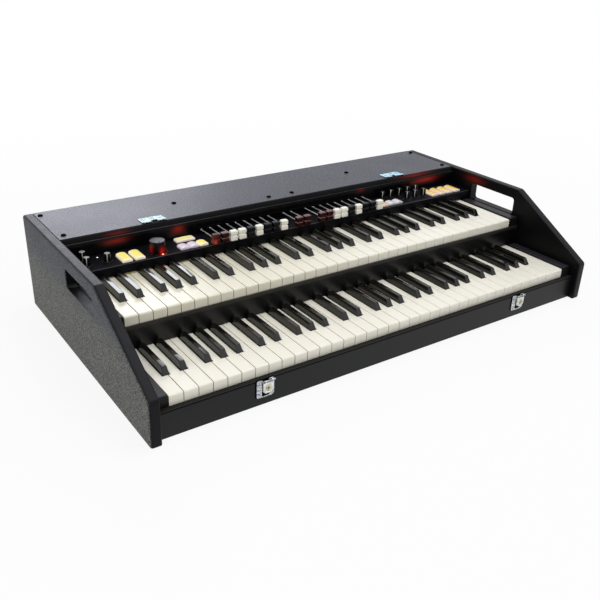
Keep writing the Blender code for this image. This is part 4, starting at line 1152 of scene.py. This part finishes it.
def makeDrawbar(name, x, colour):
    size = drawbar
    knobSlot = ("brown" if colour == "red" else colour) + "_knobs"
    present(knobMesh(x + size["shift"]), name + "_knob", colour + "Knob", name, knobSlot, name)
    bm = plate(span(x, size["rodHalf"]), size["rodZ"], size["rodCorner"], 1, size["rodEnds"], (0, 0), 4, 1)
    for across, up, ends in ((span(x, size["beadHalf"]), (size["rodZ"][0], size["beadTop"]), size["beadY"]),
                             (span(x, size["shoeHalf"]), span(size["z"], size["shoeHalf"]), size["shoe"])):
        merge(bm, plate(across, up, size["smallCorner"], 1, ends, size["smallRims"], 4, 3))
    present(bm, name + "_rod", "rod", name, "bright_steel", name)


canopy = {"x": (-0.1945, 0.1885), "y": (0.1042, 0.1096), "z": (0.1508, 0.1530),
          "corners": (0.0006, 0.0002, 0.0002, 0.0014), "rims": (0.0004, 0.0004)}


def makeCanopy():
    # a dark strip along the board's foot that the rods run under
    present(plate(canopy["y"], canopy["z"], canopy["corners"], 0, canopy["x"], canopy["rims"], 6, 3),
            "rodCanopy", "screwBlack", "case", "gloss_panel")


makeCanopy()
for group, colours in drawbar["colours"].items():
    for number, colour in enumerate(colours):
        makeDrawbar(f"{group}_drawbar_{number + 1}", drawbar["first"][group] + number * drawbar["pitch"],
                    colour)
print("drawbars made")


# Control panel

panel = {
    "front": 0.0490, "back": 0.1778, "top": 0.139, "sheet": 0.0025, "lip": 0.1225, "half": 0.4447,
    "brow": 0.0015, "shaftHole": 0.0033, "tabGap": 0.0005, "cutZ": (0.130, 0.145),
}
dials = {
    "radius": 0.0058, "topRadius": 0.0053, "height": 0.016, "air": 0.0004, "shaft": 0.003,
    "shaftEnd": 0.130, "edge": 0.0008, "dish": 0.0002, "dishRim": (0.80, 0.84), "ribs": 22,
    "ribDrop": 0.002, "ribShare": 0.5, "ribTaper": 0.9, "ribRoot": 0.0004, "ribPeaks": (0.0002, 0.0001),
    "ribSeat": 0.0001, "skirtRadius": 0.0069, "skirt": 0.0013, "skirtLift": 0.0002,
    "skirtChamfer": 0.0006, "pointer": 0.0011, "pointerLow": 0.0015, "turned": {"left": -22, "right": -42},
    "live": {"tone_dial": (-0.417, 0.0715), "drive_dial": (-0.382, 0.0715)},
    "fixed": {"left": [(-0.415, 0.0975)],
              "right": [(x, 0.0975) for x in (0.2345, 0.2580, 0.2805, 0.3045, 0.3270)]
                       + [(x, 0.0715) for x in (0.281, 0.303, 0.327)]},
    "markRadius": 0.0084, "markAngles": (-225, 45, -90, -180, 0), "mark": (0.00045, 0.00014),
}
bigDial = {
    "place": (-0.292, 0.0715), "radius": 0.0145, "topRadius": 0.0137, "height": 0.021, "air": 0.0004,
    "edge": 0.0012, "ribs": 64, "ribDrop": 0.003, "dish": 0.0004, "tickRadius": 0.0172, "ticks": 11,
    "tick": (0.0008, 0.00016), "firstTick": -240, "tickStep": 30, "markRise": 0.00008,
    "lineHalf": 0.0005, "lineEnds": (0.72, 0.30), "lineRise": 0.0002,
}
tabs = {
    "front": 0.0540, "width": 0.018, "depth": 0.035, "edge": 0.003, "crown": 0.0022, "barCrown": 0.0008,
    "corner": 0.0026, "leastCorner": 0.0001, "cornerSteps": 5, "ridge": 0.0003, "rows": 8,
    "shoulderSteps": 4, "shoulder": 0.0012, "sunk": 0.135, "smallWidth": 0.0173, "smallDepth": 0.0195,
    "smallPitch": 0.0183, "smallCentre": 0.2285, "barWidth": 0.0365, "barFront": 0.0882,
    "barDepth": 0.0163, "left": (-0.3528, -0.3302), "right": (0.3485, 0.3700, 0.3915, 0.4130),
}


def panelSheet():
    size = panel
    under = size["top"] - size["sheet"]
    inner = size["front"] + size["sheet"]
    outline = [(size["front"], size["lip"]), (inner, size["lip"]), (inner, under), (size["back"], under),
               (size["back"], size["top"]), (size["front"], size["top"])]
    bm = prism(outline, 0, (-size["half"], size["half"]))
    bevelEdges(bm, browEdges(bm, size["front"], size["top"]), size["brow"])
    piece = toPiece(bm, "controlSheet", "panel")
    holes = [turn(rod(size["shaftHole"], *size["cutZ"]), 32, at(x, y, 0))
             for x, y in [*dials["live"].values(), bigDial["place"]]]
    openings = [(x, tabs["width"], tabs["front"], tabs["depth"]) for x in tabs["left"]]
    openings.append((-tabs["smallCentre"], tabs["barWidth"], tabs["barFront"], tabs["barDepth"]))
    gap = size["tabGap"]
    for x, width, front, depth in openings:
        holes.append(block(span(x, width / 2 + gap), (front - gap, front + depth + gap), size["cutZ"]))
    carve(piece, mergeAll(holes))
    dress(soften(piece), "case", "control_panel", "control_panel")


def dialBody(size, low, shaftEnd):
    # low and shaftEnd are measured from the panel's top
    top, height, edge = size["topRadius"], size["height"], size["edge"]
    floor = height - size["dish"]
    inner, outer = dials["dishRim"]
    profile = [(0, floor), (top * inner, floor), (top * outer, height), (top - edge, height),
               *arc(top - edge, height - edge, edge, edge, 4),
               (size["radius"], low), (dials["shaft"], low)]
    if shaftEnd < low:
        profile.append((dials["shaft"], shaftEnd))
    return profile + [(0, profile[-1][1])]


def ribbed(name, look, size, low, shaftEnd):
    # a turned body with fine ribs grown round its side; it stands at the origin
    body = soften(toPiece(turn(dialBody(size, low, shaftEnd), 48), name, look))
    radius = size["radius"]
    step = size["topRadius"] - radius
    high = size["height"] - size["ribDrop"]
    wide = math.pi * radius / size["ribs"] * dials["ribShare"]
    foot, head = dials["ribPeaks"]
    ends = []
    for level, out, peak, half in ((low, 0, foot, wide), (high, step, head, wide * dials["ribTaper"])):
        root = out - dials["ribRoot"]
        ends.append([Vector((root, -half, level)), Vector((out + peak, 0, level)),
                     Vector((root, half, level))])
    ribs = ring(name + "Ribs", loft(ends), look, size["ribs"], radius - dials["ribSeat"])
    grown = bmesh.new()
    grown.from_mesh(ribs.data)
    bpy.data.objects.remove(ribs)
    return addTo(body, [grown])


def smallDial(name, live, look="dial"):
    low = dials["air"] if live else 0
    skirt = dials["skirtRadius"]
    brim = low + dials["skirt"]
    body = ribbed(name, look, dials, brim, brim)
    lifted = brim + dials["skirtLift"]
    chamfer = dials["skirtChamfer"]
    base = [(0, lifted), (skirt - chamfer, lifted), (skirt, lifted - chamfer), (skirt, low),
            (dials["shaft"], low)]
    if live:
        base.append((dials["shaft"], dials["shaftEnd"] - panel["top"]))
    return addTo(body, [turn(base + [(0, base[-1][1])], 40)])


def pointerLine(name, degrees):
    # a white line from the middle of the top, over the edge and down the side, turned by the degrees
    radius, top, height = dials["radius"], dials["topRadius"], dials["height"]
    start = 0.0008 - top * 0.4
    foot = dials["pointerLow"] + 0.001
    lift = 0.0001
    outline = [(start, height - 0.0002), (-top + 0.0006, height - 0.0002), (-top + 0.0006, height - 0.0012),
               (-radius + 0.0002, foot), (-radius - 2.5 * lift, foot), (-top - 2.5 * lift, height - 0.0010),
               (-top + 0.0004, height + lift), (start, height + lift)]
    bm = prism(outline, 0, span(0, dials["pointer"] / 2))
    bmesh.ops.rotate(bm, verts=bm.verts, matrix=Matrix.Rotation(math.radians(degrees), 3, "Z"))
    return toPiece(bm, name, "pointer")


def shifted(piece, place):
    piece.data.transform(at(*place, panel["top"]))
    return piece


def makeDials():
    for name, place in dials["live"].items():
        dress(shifted(smallDial(name + "_body", True), place), name, "black_plastic", name)
        dress(shifted(pointerLine(name + "_line", dials["turned"]["left"]), place), name, "white_knobs")
    for side, places in dials["fixed"].items():
        look = "dial" if side == "left" else "dimDial"
        points = [(x, y, panel["top"]) for x, y in places]
        fixed = scatter(side + "FixedDials", smallDial("dialHead", False, look), points, look, 0.15)
        dress(fixed, "case", "black_plastic", "control_panel")
        line = pointerLine("lineHead", dials["turned"][side])
        dress(scatter(side + "FixedDialLines", line, points, "pointer", 0.15), "case", "white_knobs",
              "control_panel")


def markMesh(half):
    # a flat mark on the panel, its length along X
    return block(span(0, half[0]), span(0, half[1]), (0, bigDial["markRise"]))


def makeBigDial():
    size = bigDial
    body = ribbed("volume_dial_body", "bigDial", size, size["air"], dials["shaftEnd"] - panel["top"])
    dish = size["height"] - size["dish"]
    along = [-size["topRadius"] * share for share in size["lineEnds"]]
    flat = block(span(0, size["lineHalf"]), along, span(dish, size["lineRise"]))
    line = toPiece(flat, "volume_dial_line", "plainBlack")
    for piece in (body, line):
        dress(shifted(piece, size["place"]), "volume_dial", "black_plastic", "volume_dial")
    ticks = ring("volumeTicks", markMesh(size["tick"]), "pointer", size["ticks"], size["tickRadius"],
                 (*size["place"], panel["top"]), size["firstTick"], size["tickStep"])
    dress(ticks, "case", "white_knobs")
    marks = []
    for x, y in [*dials["live"].values(), *dials["fixed"]["left"], *dials["fixed"]["right"]]:
        for angle in map(math.radians, dials["markAngles"]):
            mark = markMesh(dials["mark"])
            spot = at(x + dials["markRadius"] * math.cos(angle), y + dials["markRadius"] * math.sin(angle),
                      panel["top"])
            bmesh.ops.transform(mark, verts=mark.verts, matrix=spot @ Matrix.Rotation(angle, 4, "Z"))
            marks.append(mark)
    dress(toPiece(mergeAll(marks), "dialMarks", "pointer"), "case", "white_knobs")


def padMesh(x, y, z, crown):
    # a tab arched across its width: rings that step inwards and follow the arch
    shoulder = tabs["shoulder"]
    half = (x[1] - x[0]) / 2
    centre = (x[0] + x[1]) / 2
    thin = min(x[1] - x[0], y[1] - y[0]) / 2

    def arch(across):
        share = (across - centre) / half
        return z[1] + tabs["edge"] + crown * (1 - share * share)

    steps = [(0, None), (0, shoulder)]
    for step in range(1, tabs["shoulderSteps"] + 1):
        angle = math.pi / 2 * step / tabs["shoulderSteps"]
        steps.append((shoulder * (1 - math.cos(angle)), shoulder * (1 - math.sin(angle))))
    rows = tabs["rows"]
    rise = (thin - shoulder - tabs["ridge"]) / rows
    steps += [(shoulder + rise * step, 0) for step in range(1, rows + 1)]
    cornerSteps = tabs["cornerSteps"]
    rings = []
    for inset, drop in steps:
        outline = rectangle((x[0] + inset, x[1] - inset), (y[0] + inset, y[1] - inset))
        radius = max(tabs["corner"] - inset, tabs["leastCorner"])
        rounded = roundCorners(outline, [radius] * 4, cornerSteps)
        dense = []
        for index, point in enumerate(rounded):
            after = rounded[(index + 1) % len(rounded)]
            dense.append(point)
            if (after - point).length > 2 * thin / rows or index % (cornerSteps + 1) == cornerSteps:
                dense += [point.lerp(after, row / rows) for row in range(1, rows)]
        rings.append([Vector((*point, z[0] if drop is None else arch(point.x) - drop)) for point in dense])
    bm = loft(rings)
    layer = bm.loops.layers.uv.new("pad")
    for face in bm.faces:
        for loop in face.loops:
            spot = loop.vert.co
            loop[layer].uv = ((spot.x - x[0]) / (x[1] - x[0]), (spot.y - y[0]) / (y[1] - y[0]))
    return bm


def makeTab(name, centre, front, width, depth, look, live=False):
    low = tabs["sunk"] if live else panel["top"]
    crown = tabs["barCrown"] if width == tabs["barWidth"] else tabs["crown"]
    bm = padMesh(span(centre, width / 2), (front, front + depth), (low, panel["top"]), crown)
    present(bm, name, look, name if live else "case", "lit_tabs", name if live else "control_panel")


def makeTabs():
    size = tabs
    large = (size["front"], size["width"], size["depth"])
    small = (size["front"], size["smallWidth"], size["smallDepth"])
    for number, x in enumerate(size["left"], 1):
        makeTab(f"tab_switch_{number}", x, *large, "amberTab", True)
    makeTab("bar_switch", -size["smallCentre"], size["barFront"], size["barWidth"], size["barDepth"],
            "barTab", True)
    for number, x in enumerate(size["right"], 1):
        makeTab(f"rightTab{number}", x, *large, "goldTab")
    rows = {"left": (-size["smallCentre"], ("roseTab", "roseTab", "amberTab")),
            "right": (size["smallCentre"], ("peachTab", "whiteTab", "whiteTab"))}
    for side, (centre, looks) in rows.items():
        for number, look in enumerate(looks):
            makeTab(f"{side}SmallTab{number + 1}", centre + (number - 1) * size["smallPitch"], *small, look)


lamps = {
    "white": (-0.390, 0.0975, 0.0014), "red": (-0.2896, 0.0552, 0.0016),
    # shares of the lens's radius
    "lens": ((0, 0.55), (0.5, 0.47), (0.85, 0.27), (1, 0), (0, 0)),
}


def makeLamps():
    for colour in ("white", "red"):
        x, y, radius = lamps[colour]
        profile = [(radius * across, radius * up) for across, up in lamps["lens"]]
        present(turn(profile, 24, at(x, y, panel["top"])), colour + "Lamp", colour + "Lamp", "case",
                "lit_tabs")


panelSheet()
makeDials()
makeBigDial()
makeTabs()
makeLamps()
print("control panel made")


# Latches, hinges and screws

latch = {
    "plate": {"left": (-0.2864, -0.2556), "right": (0.2724, 0.3032)}, "plateZ": (0.0143, 0.0449),
    "plateY": (-0.2470, -0.2458), "corners": (0.004, 0.006, 0.0025, 0.0025), "through": 0.001,
    "plateRims": (0.0004, 0), "flapRims": (0.0010, 0.0003), "tipRims": (0.0006, 0.0001),
    "earRims": (0.0002, 0.0002), "shadeBackingRims": (0.0002, 0),
    "lever": {"left": -0.2651, "right": 0.2937}, "half": 0.0080, "leverZ": (0.0233, 0.0398),
    "leverY": (-0.2508, -0.2476), "flapLeft": {"left": -0.0116, "right": -0.0106}, "flapRight": 0.0067,
    "flapCorners": (0.0030, 0.0045, 0.0006, 0.0006), "tipX": (0.0015, 0.005), "tipRise": 0.0030,
    "tipY": (0.0014, 0.001), "tipCorners": (0.0014, 0.0014, 0.0006, 0.0006),
    "fingerX": (0.0010, 0.0022), "fingerZ": (0.0160, 0.0262),
    "fingerCorners": (0.0026, 0.0034, 0.001, 0.001),
    "notchX": (0.0119, 0.0005), "notchZ": (0.0418, 0.0460), "slitX": (0.0009, 0.0008),
    "slitZ": (0.0243, 0.0390),
    "axle": (-0.2491, 0.0421), "axleRadius": 0.0018, "thinKnuckle": 0.0012, "knuckleRun": 0.0045,
    "knuckleBevel": 0.0003, "pinRadius": 0.0010,
    "earGap": 0.0003, "earWidth": 0.0012, "earCorners": (0.0016, 0.0002, 0.0002, 0.0016),
    "rivets": ((0.0048, 0.0372), (0.0080, 0.0292), (0.0048, 0.0212)),
    "rivetDome": ((0, 0.0009), (0.0008, 0.00082), (0.0015, 0.00055), (0.0020, 0), (0, 0)),
    "bossZ": 0.0314, "bossRadius": 0.0050, "bossShift": {"left": -0.0030, "right": -0.0018},
    # shares of the boss's radius, each with its height
    "bossRings": ((0, 0.0007), (0.55, 0.0007), (0.62, 0.0004), (0.78, 0.0009), (0.92, 0.0008), (1, 0),
                  (0, 0)),
    "eyeRadius": 0.0014, "eyeRise": 0.0008, "slotHalf": 0.0006, "slotDrop": 0.0026,
    "shadeBackingReach": (0.0021, 0.00063, 0.00126), "shadeBackingY": (0.0004, 0.0003),
}


def makeLatch(side):
    size = latch
    node = f"latch_plate_{side}"
    low, high = size["plate"][side]
    centre = size["lever"][side]
    half = size["half"]
    front, back = size["plateY"]
    through = (front - size["through"], back + size["through"])
    bottom = size["leverZ"][0]
    left, right = centre + size["flapLeft"][side], centre + size["flapRight"]
    sheet = plate((low, high), size["plateZ"], size["corners"], 1, (front, back), size["plateRims"], 6, 3)
    piece = toPiece(sheet, node, "chrome")
    carve(piece, plate((left - size["fingerX"][0], centre + size["fingerX"][1]), size["fingerZ"],
                       size["fingerCorners"], 1, through, (0, 0), 6, 1))
    carve(piece, block((centre - size["notchX"][0], centre - size["notchX"][1]), through, size["notchZ"]))
    carve(piece, block((left - size["slitX"][0], left + size["slitX"][1]), through, size["slitZ"]))
    axleY, axleZ = size["axle"]
    reach = size["axleRadius"]
    extras = []
    for sign in (-1, 1):
        inside = centre + sign * (half + size["earGap"])
        extras.append(plate((axleY - reach, back), span(axleZ, reach), size["earCorners"], 0,
                            sorted((inside, inside + sign * size["earWidth"])), size["earRims"], 5, 2))
    for run, z in size["rivets"]:
        extras.append(turn(size["rivetDome"], 24, facing((0, -1, 0), low + run, front, z)))
    dress(soften(addTo(piece, extras)), "case", "bright_steel", node)
    # a black sheet behind the plate stands in for the shade in its cut-outs and along its left and top
    # edges: painted shade
    before, after, above = size["shadeBackingReach"]
    shadeBacking = plate((low - before, high + after), (size["plateZ"][0], size["plateZ"][1] + above),
                   size["corners"], 1, (back - size["shadeBackingY"][0], back + size["shadeBackingY"][1]),
                   size["shadeBackingRims"], 6, 2)
    present(shadeBacking, f"{side}LatchGasket", "screwBlack", "case", "black_plastic")

    lever = f"latch_lever_{side}"
    face = size["leverY"][0]
    flap = plate((left, right), size["leverZ"], size["flapCorners"], 1, size["leverY"],
                 size["flapRims"])
    merge(flap, plate((left + size["tipX"][0], right - size["tipX"][1]),
                      (bottom, bottom + size["tipRise"]), size["tipCorners"], 1,
                      (face - size["tipY"][0], face + size["tipY"][1]), size["tipRims"], 5, 3))
    run = size["knuckleRun"]
    for start, radius in ((-half, size["thinKnuckle"]), (half - run, size["axleRadius"])):
        merge(flap, turn(rod(radius, 0, run, size["knuckleBevel"]), 28,
                         facing((1, 0, 0), centre + start, axleY, axleZ)), 1)
    merge(flap, turn(rod(size["pinRadius"], -half, half), 16, facing((1, 0, 0), centre, axleY, axleZ)), 1)
    dress(soften(toPiece(flap, lever, "flap", "chrome")), lever, "bright_steel", lever)
    centre += size["bossShift"][side]
    profile = [(size["bossRadius"] * share, rise) for share, rise in size["bossRings"]]
    boss = turn(profile, 40, facing((0, -1, 0), centre, face, size["bossZ"]))
    present(boss, f"{side}LatchBoss", "brass", lever, "bright_steel", lever)
    rise = size["eyeRise"]
    eye = turn(rod(size["eyeRadius"], rise, 0), 20, facing((0, -1, 0), centre, face, size["bossZ"] + rise))
    merge(eye, block(span(centre, size["slotHalf"]), (face - rise, face),
                     (size["bossZ"] - size["slotDrop"], size["bossZ"] + rise)))
    dress(toPiece(eye, f"{side}LatchKeyhole", "plainBlack"), lever, "bright_steel", lever)


hinge = {
    "ends": {"left": (-0.2985, -0.2530), "right": (0.2555, 0.3025)},
    "notch": {"left": -0.2745, "right": 0.2775}, "y": (0.1140, 0.1365), "z": (0.1768, 0.1780),
    "corners": (0.0005, 0.0005, 0.003, 0.003), "barrel": 0.00145, "barrelY": 0.1140, "barrelZ": 0.17826,
    "barrelRun": 0.0155, "barrelBevel": 0.0003, "notchHalf": 0.0058, "notchY": (0.1100, 0.1215),
    "cutZ": (0.1760, 0.1790), "screws": ((-0.0150, 0.1265), (0.0, 0.1300), (0.0150, 0.1265)),
    "sink": ((0, -0.0014), (0.0015, -0.0014), (0.0031, 0.0002), (0.0031, 0.001), (0, 0.001)),
    "pin": ((0, 0), (0.0007, 0), (0.0007, 0.003), (0.0004, 0.004), (0, 0.004)),
    "head": ((0, 0), (0.0014, 0), (0.0028, 0.0011), (0.0026, 0.0013), (0.0012, 0.0015), (0, 0.0015)),
    "headDrop": 0.0013, "recess": (0.0015, 0.0016, 0.00035, 0.0008),
    "shadeReach": 0.0004, "shadeZ": (0.1764, 0.1772), "shadeCorner": 0.0006, "shadowStripY": (0.1110, 0.1140),
    "shadowStripZ": (0.1754, 0.1771), "shadowStripEnd": 0.001, "rims": (0, 0.0003), "shadeRims": (0, 0.0002),
    "pinSeat": 0.001,
}


def screwRecess(top, reach, width, depth):
    # a cross-shaped cutter for a head that stands at the origin
    cross = []
    for quarter in range(4):
        spin = Matrix.Rotation(math.pi / 2 * quarter, 2)
        cross += [spin @ Vector(point) for point in ((-width, -reach), (width, -reach), (width, -width))]
    return prism(cross, 2, (top - depth, top + 0.001))


def makeHinge(side):
    size = hinge
    node = f"lid_hinge_{side}"
    low, high = size["ends"][side]
    centre = (low + high) / 2
    notch = size["notch"][side]
    run = size["barrelRun"]
    deckY, deckZ = size["barrelY"], size["barrelZ"]
    leaf = toPiece(plate((low, high), size["y"], size["corners"], 2, size["z"], size["rims"], 6, 3), node,
                   "hinge")
    cuts = block(span(notch, size["notchHalf"]), size["notchY"], size["cutZ"])
    for shift, y in size["screws"]:
        merge(cuts, turn(size["sink"], 28, at(centre + shift, y, size["z"][1])))
    carve(leaf, cuts)
    barrels = [turn(rod(size["barrel"], 0, run, size["barrelBevel"]), 28,
                    facing((1, 0, 0), start, deckY, deckZ)) for start in (low, high - run)]
    pin = turn(size["pin"], 20, facing((1, 0, 0), low + run - size["pinSeat"], deckY, deckZ))
    dress(soften(addTo(leaf, barrels + [pin])), "case", "bright_steel", node)
    # a black sheet in the leaf's notch and black strips under the barrels: painted shade where the barrels
    # and the notch shadow the deck
    gap = plate(span(notch, size["notchHalf"] + size["shadeReach"]),
                (deckY - size["shadeReach"], size["notchY"][1]), size["shadeCorner"], 2, size["shadeZ"],
                size["shadeRims"], 4, 2)
    for start in (low + size["shadowStripEnd"], high - run):
        merge(gap, plate((start, start + run - size["shadowStripEnd"]), size["shadowStripY"], size["shadeCorner"], 2,
                         size["shadowStripZ"], size["rims"], 4, 2))
    present(gap, f"{side}HingeGap", "screwBlack", "case", "black_plastic")
    head = toPiece(turn(size["head"], 28), "hingeScrewHead", "zinc")
    carve(head, screwRecess(*size["recess"]))
    points = [(centre + shift, y, size["z"][1] - size["headDrop"]) for shift, y in size["screws"]]
    dress(soften(scatter(f"{side}HingeScrews", head, points, "zinc", 0.7)), "case", "bright_steel", node)


screws = {
    "deck": [(-0.437, 0.2385), (0.437, 0.2385), (-0.433, 0.1285), (0.433, 0.1285), (-0.204, 0.1855),
             (0.204, 0.1855), (-0.029, 0.1300), (0.025, 0.1305)],
    "deckTop": 0.1765, "deckRadius": 0.0046, "deckRise": 0.0026,
    "rear": [(x, z) for x in (-0.430, -0.215, 0.0, 0.215, 0.430) for z in (0.0125, 0.1555)],
    "rearFace": 0.2575, "rearRadius": 0.0034, "rearRise": 0.0009, "turnSpread": 0.8,
    # shares of the head: its upright wall, and the reach, width and depth of its recess
    "wall": 0.25, "recess": (0.42, 0.12, 0.35),
}


def makeScrews():
    rows = {"deck": ("screwBlack", [(x, y, screws["deckTop"]) for x, y in screws["deck"]]),
            "rear": ("plainBlack", [(x, z, 0) for x, z in screws["rear"]])}
    for place, (look, points) in rows.items():
        radius, rise = screws[place + "Radius"], screws[place + "Rise"]
        wall = screws["wall"] * rise
        reach, width, depth = screws["recess"]
        profile = [(0, rise), *arc(0, wall, radius, rise - wall, 6), (radius, 0), (0, 0)]
        head = toPiece(turn(profile, 32), place + "Head", look)
        carve(head, screwRecess(rise, radius * reach, radius * width, rise * depth))
        piece = scatter(place + "Screws", head, points, look, screws["turnSpread"])
        if place == "rear":
            face = screws["rearFace"]
            piece.data.transform(Matrix(((-1, 0, 0, 0), (0, 0, 1, face), (0, 1, 0, 0), (0, 0, 0, 1))))
        dress(soften(piece), "case", "black_plastic")


sockets = {
    "first": -0.355, "pitch": 0.024, "count": 5, "z": 0.040, "face": 0.2575, "outer": 0.0053,
    "inner": 0.0034, "rise": 0.0009, "chamfer": (0.0006, 0.0003),
    "bladeX": (-0.233, -0.226, -0.219), "bladeShift": (0, -0.003, 0),
    "bladeHalf": 0.0006, "bladeY": (0.2540, 0.2568), "bladeZ": (0.0385, 0.0415), "bladeEdge": 0.0001,
}


def makeSockets():
    size = sockets
    inner, outer, rise = size["inner"], size["outer"], size["rise"]
    across, down = size["chamfer"]
    profile = [(inner, 0), (inner, rise), (outer - across, rise), (outer, rise - down), (outer, 0),
               (inner, 0)]
    nuts = bmesh.new()
    for number in range(size["count"]):
        nut = turn(profile, 36, facing((0, 1, 0), size["first"] + number * size["pitch"], size["face"],
                                       size["z"]))
        bmesh.ops.delete(nut, geom=[face for face in nut.faces if len(face.verts) > 4],
                         context="FACES_ONLY")
        bmesh.ops.remove_doubles(nut, verts=nut.verts, dist=tiny)
        merge(nuts, nut)
    bmesh.ops.recalc_face_normals(nuts, faces=nuts.faces)
    present(nuts, "socketNuts", "chrome", "case", "bright_steel")
    blades = [block(span(x, size["bladeHalf"]), size["bladeY"], [z + shift for z in size["bladeZ"]])
              for x, shift in zip(size["bladeX"], size["bladeShift"])]
    present(mergeAll(blades), "inletBlades", "brass", "case", "bright_steel", width=size["bladeEdge"])


for side in ("left", "right"):
    makeLatch(side)
    makeHinge(side)
makeScrews()
makeSockets()
print("metalware made")


# Floor, light and camera

studio = {
    "floorHalf": 15.0, "shadowShare": 0.12, "clear": (0.55, 2.0), "ambient": 0.42,
    "white": (1, 1, 1, 1), "paper": (0.86, 0.86, 0.86, 1),
    # place, aim, size, power, colour
    "lamps": {
        "keyBox": ((-1.5, -1.3, 2.1), (0, 0, 0.1), (1.6, 1.6), 23, (1.0, 0.99, 0.97)),
        "topBox": ((0.7, -0.2, 2.4), (0.1, 0, 0.1), (2.0, 1.4), 24, (1.0, 1.0, 1.0)),
        "backBox": ((0.35, 2.7, 1.35), (-0.3, 0, 0.15), (1.3, 0.9), 24, (0.90, 0.91, 1.0)),
    },
}


def emptyTree(owner):
    owner.use_nodes = True
    owner.node_tree.nodes.clear()
    return Graph(owner.node_tree)


def whiteFor(graph):
    # 1 for what the camera sees directly, in gloss or through glass
    seen = graph.node("ShaderNodeLightPath")
    names = {socket.name: Wire(graph, socket) for socket in seen.socket.node.outputs}
    gloss = names["Is Glossy Ray"].maths("MAXIMUM", names["Is Transmission Ray"])
    return names["Is Camera Ray"].maths("MAXIMUM", gloss)


def makeFloor():
    half = studio["floorHalf"]
    mesh = bpy.data.meshes.new("floor")
    mesh.from_pydata([(x, y, 0) for x, y in rectangle((-half, half), (-half, half))], [], [(0, 1, 2, 3)])
    material = bpy.data.materials.new("paleFloor")
    graph = emptyTree(material)
    seen = whiteFor(graph)
    paper = graph.node("ShaderNodeBsdfDiffuse", sockets={"Color": studio["paper"]})
    glow = graph.node("ShaderNodeEmission", sockets={"Color": studio["white"], "Strength": 1.0})
    place = graph.node("ShaderNodeTexCoord", output="Object")
    away = graph.node("ShaderNodeVectorMath", {"operation": "LENGTH"}, {0: place}, output=1)
    shadowed = (1 - away.rise(*studio["clear"])) * studio["shadowShare"]
    mixed = graph.node("ShaderNodeMixShader", sockets={0: seen * (1 - shadowed), 1: paper, 2: glow})
    graph.end("ShaderNodeOutputMaterial", mixed)
    mesh.materials.append(material)
    linked("floor", mesh)


def makeWorld():
    world = bpy.data.worlds.new("studio")
    scene.world = world
    graph = emptyTree(world)
    strength = whiteFor(graph) * (1 - studio["ambient"]) + studio["ambient"]
    graph.end("ShaderNodeOutputWorld", graph.node("ShaderNodeBackground", sockets={
        "Color": studio["white"], "Strength": strength}))


def makeLights():
    for name, (place, aim, size, power, colour) in studio["lamps"].items():
        light = bpy.data.lights.new(name, "AREA")
        light.shape = "RECTANGLE"
        light.size, light.size_y = size
        light.energy = power
        light.color = colour
        lamp = linked(name, light)
        lamp.location = place
        lamp.rotation_euler = (Vector(aim) - Vector(place)).to_track_quat("-Z", "Y").to_euler()


view = {
    "lens": 44.98, "sensor": 36.0, "place": (-0.7802, -1.0424, 0.6474),
    "right": (0.82351814, -0.56635492, 0.03255727), "up": (0.22843093, 0.38359238, 0.89480512),
    "back": (-0.519266, -0.72945116, 0.44526827),
}


def makeCamera():
    data = bpy.data.cameras.new("photoCamera")
    data.lens = view["lens"]
    data.sensor_width = view["sensor"]
    camera = linked("photoCamera", data)
    matrix = Matrix((view["right"], view["up"], view["back"])).transposed().to_4x4()
    matrix.translation = view["place"]
    camera.matrix_world = matrix
    scene.camera = camera


makeFloor()
makeWorld()
makeLights()
makeCamera()
scene.view_settings.view_transform = "Standard"
print("studio made")
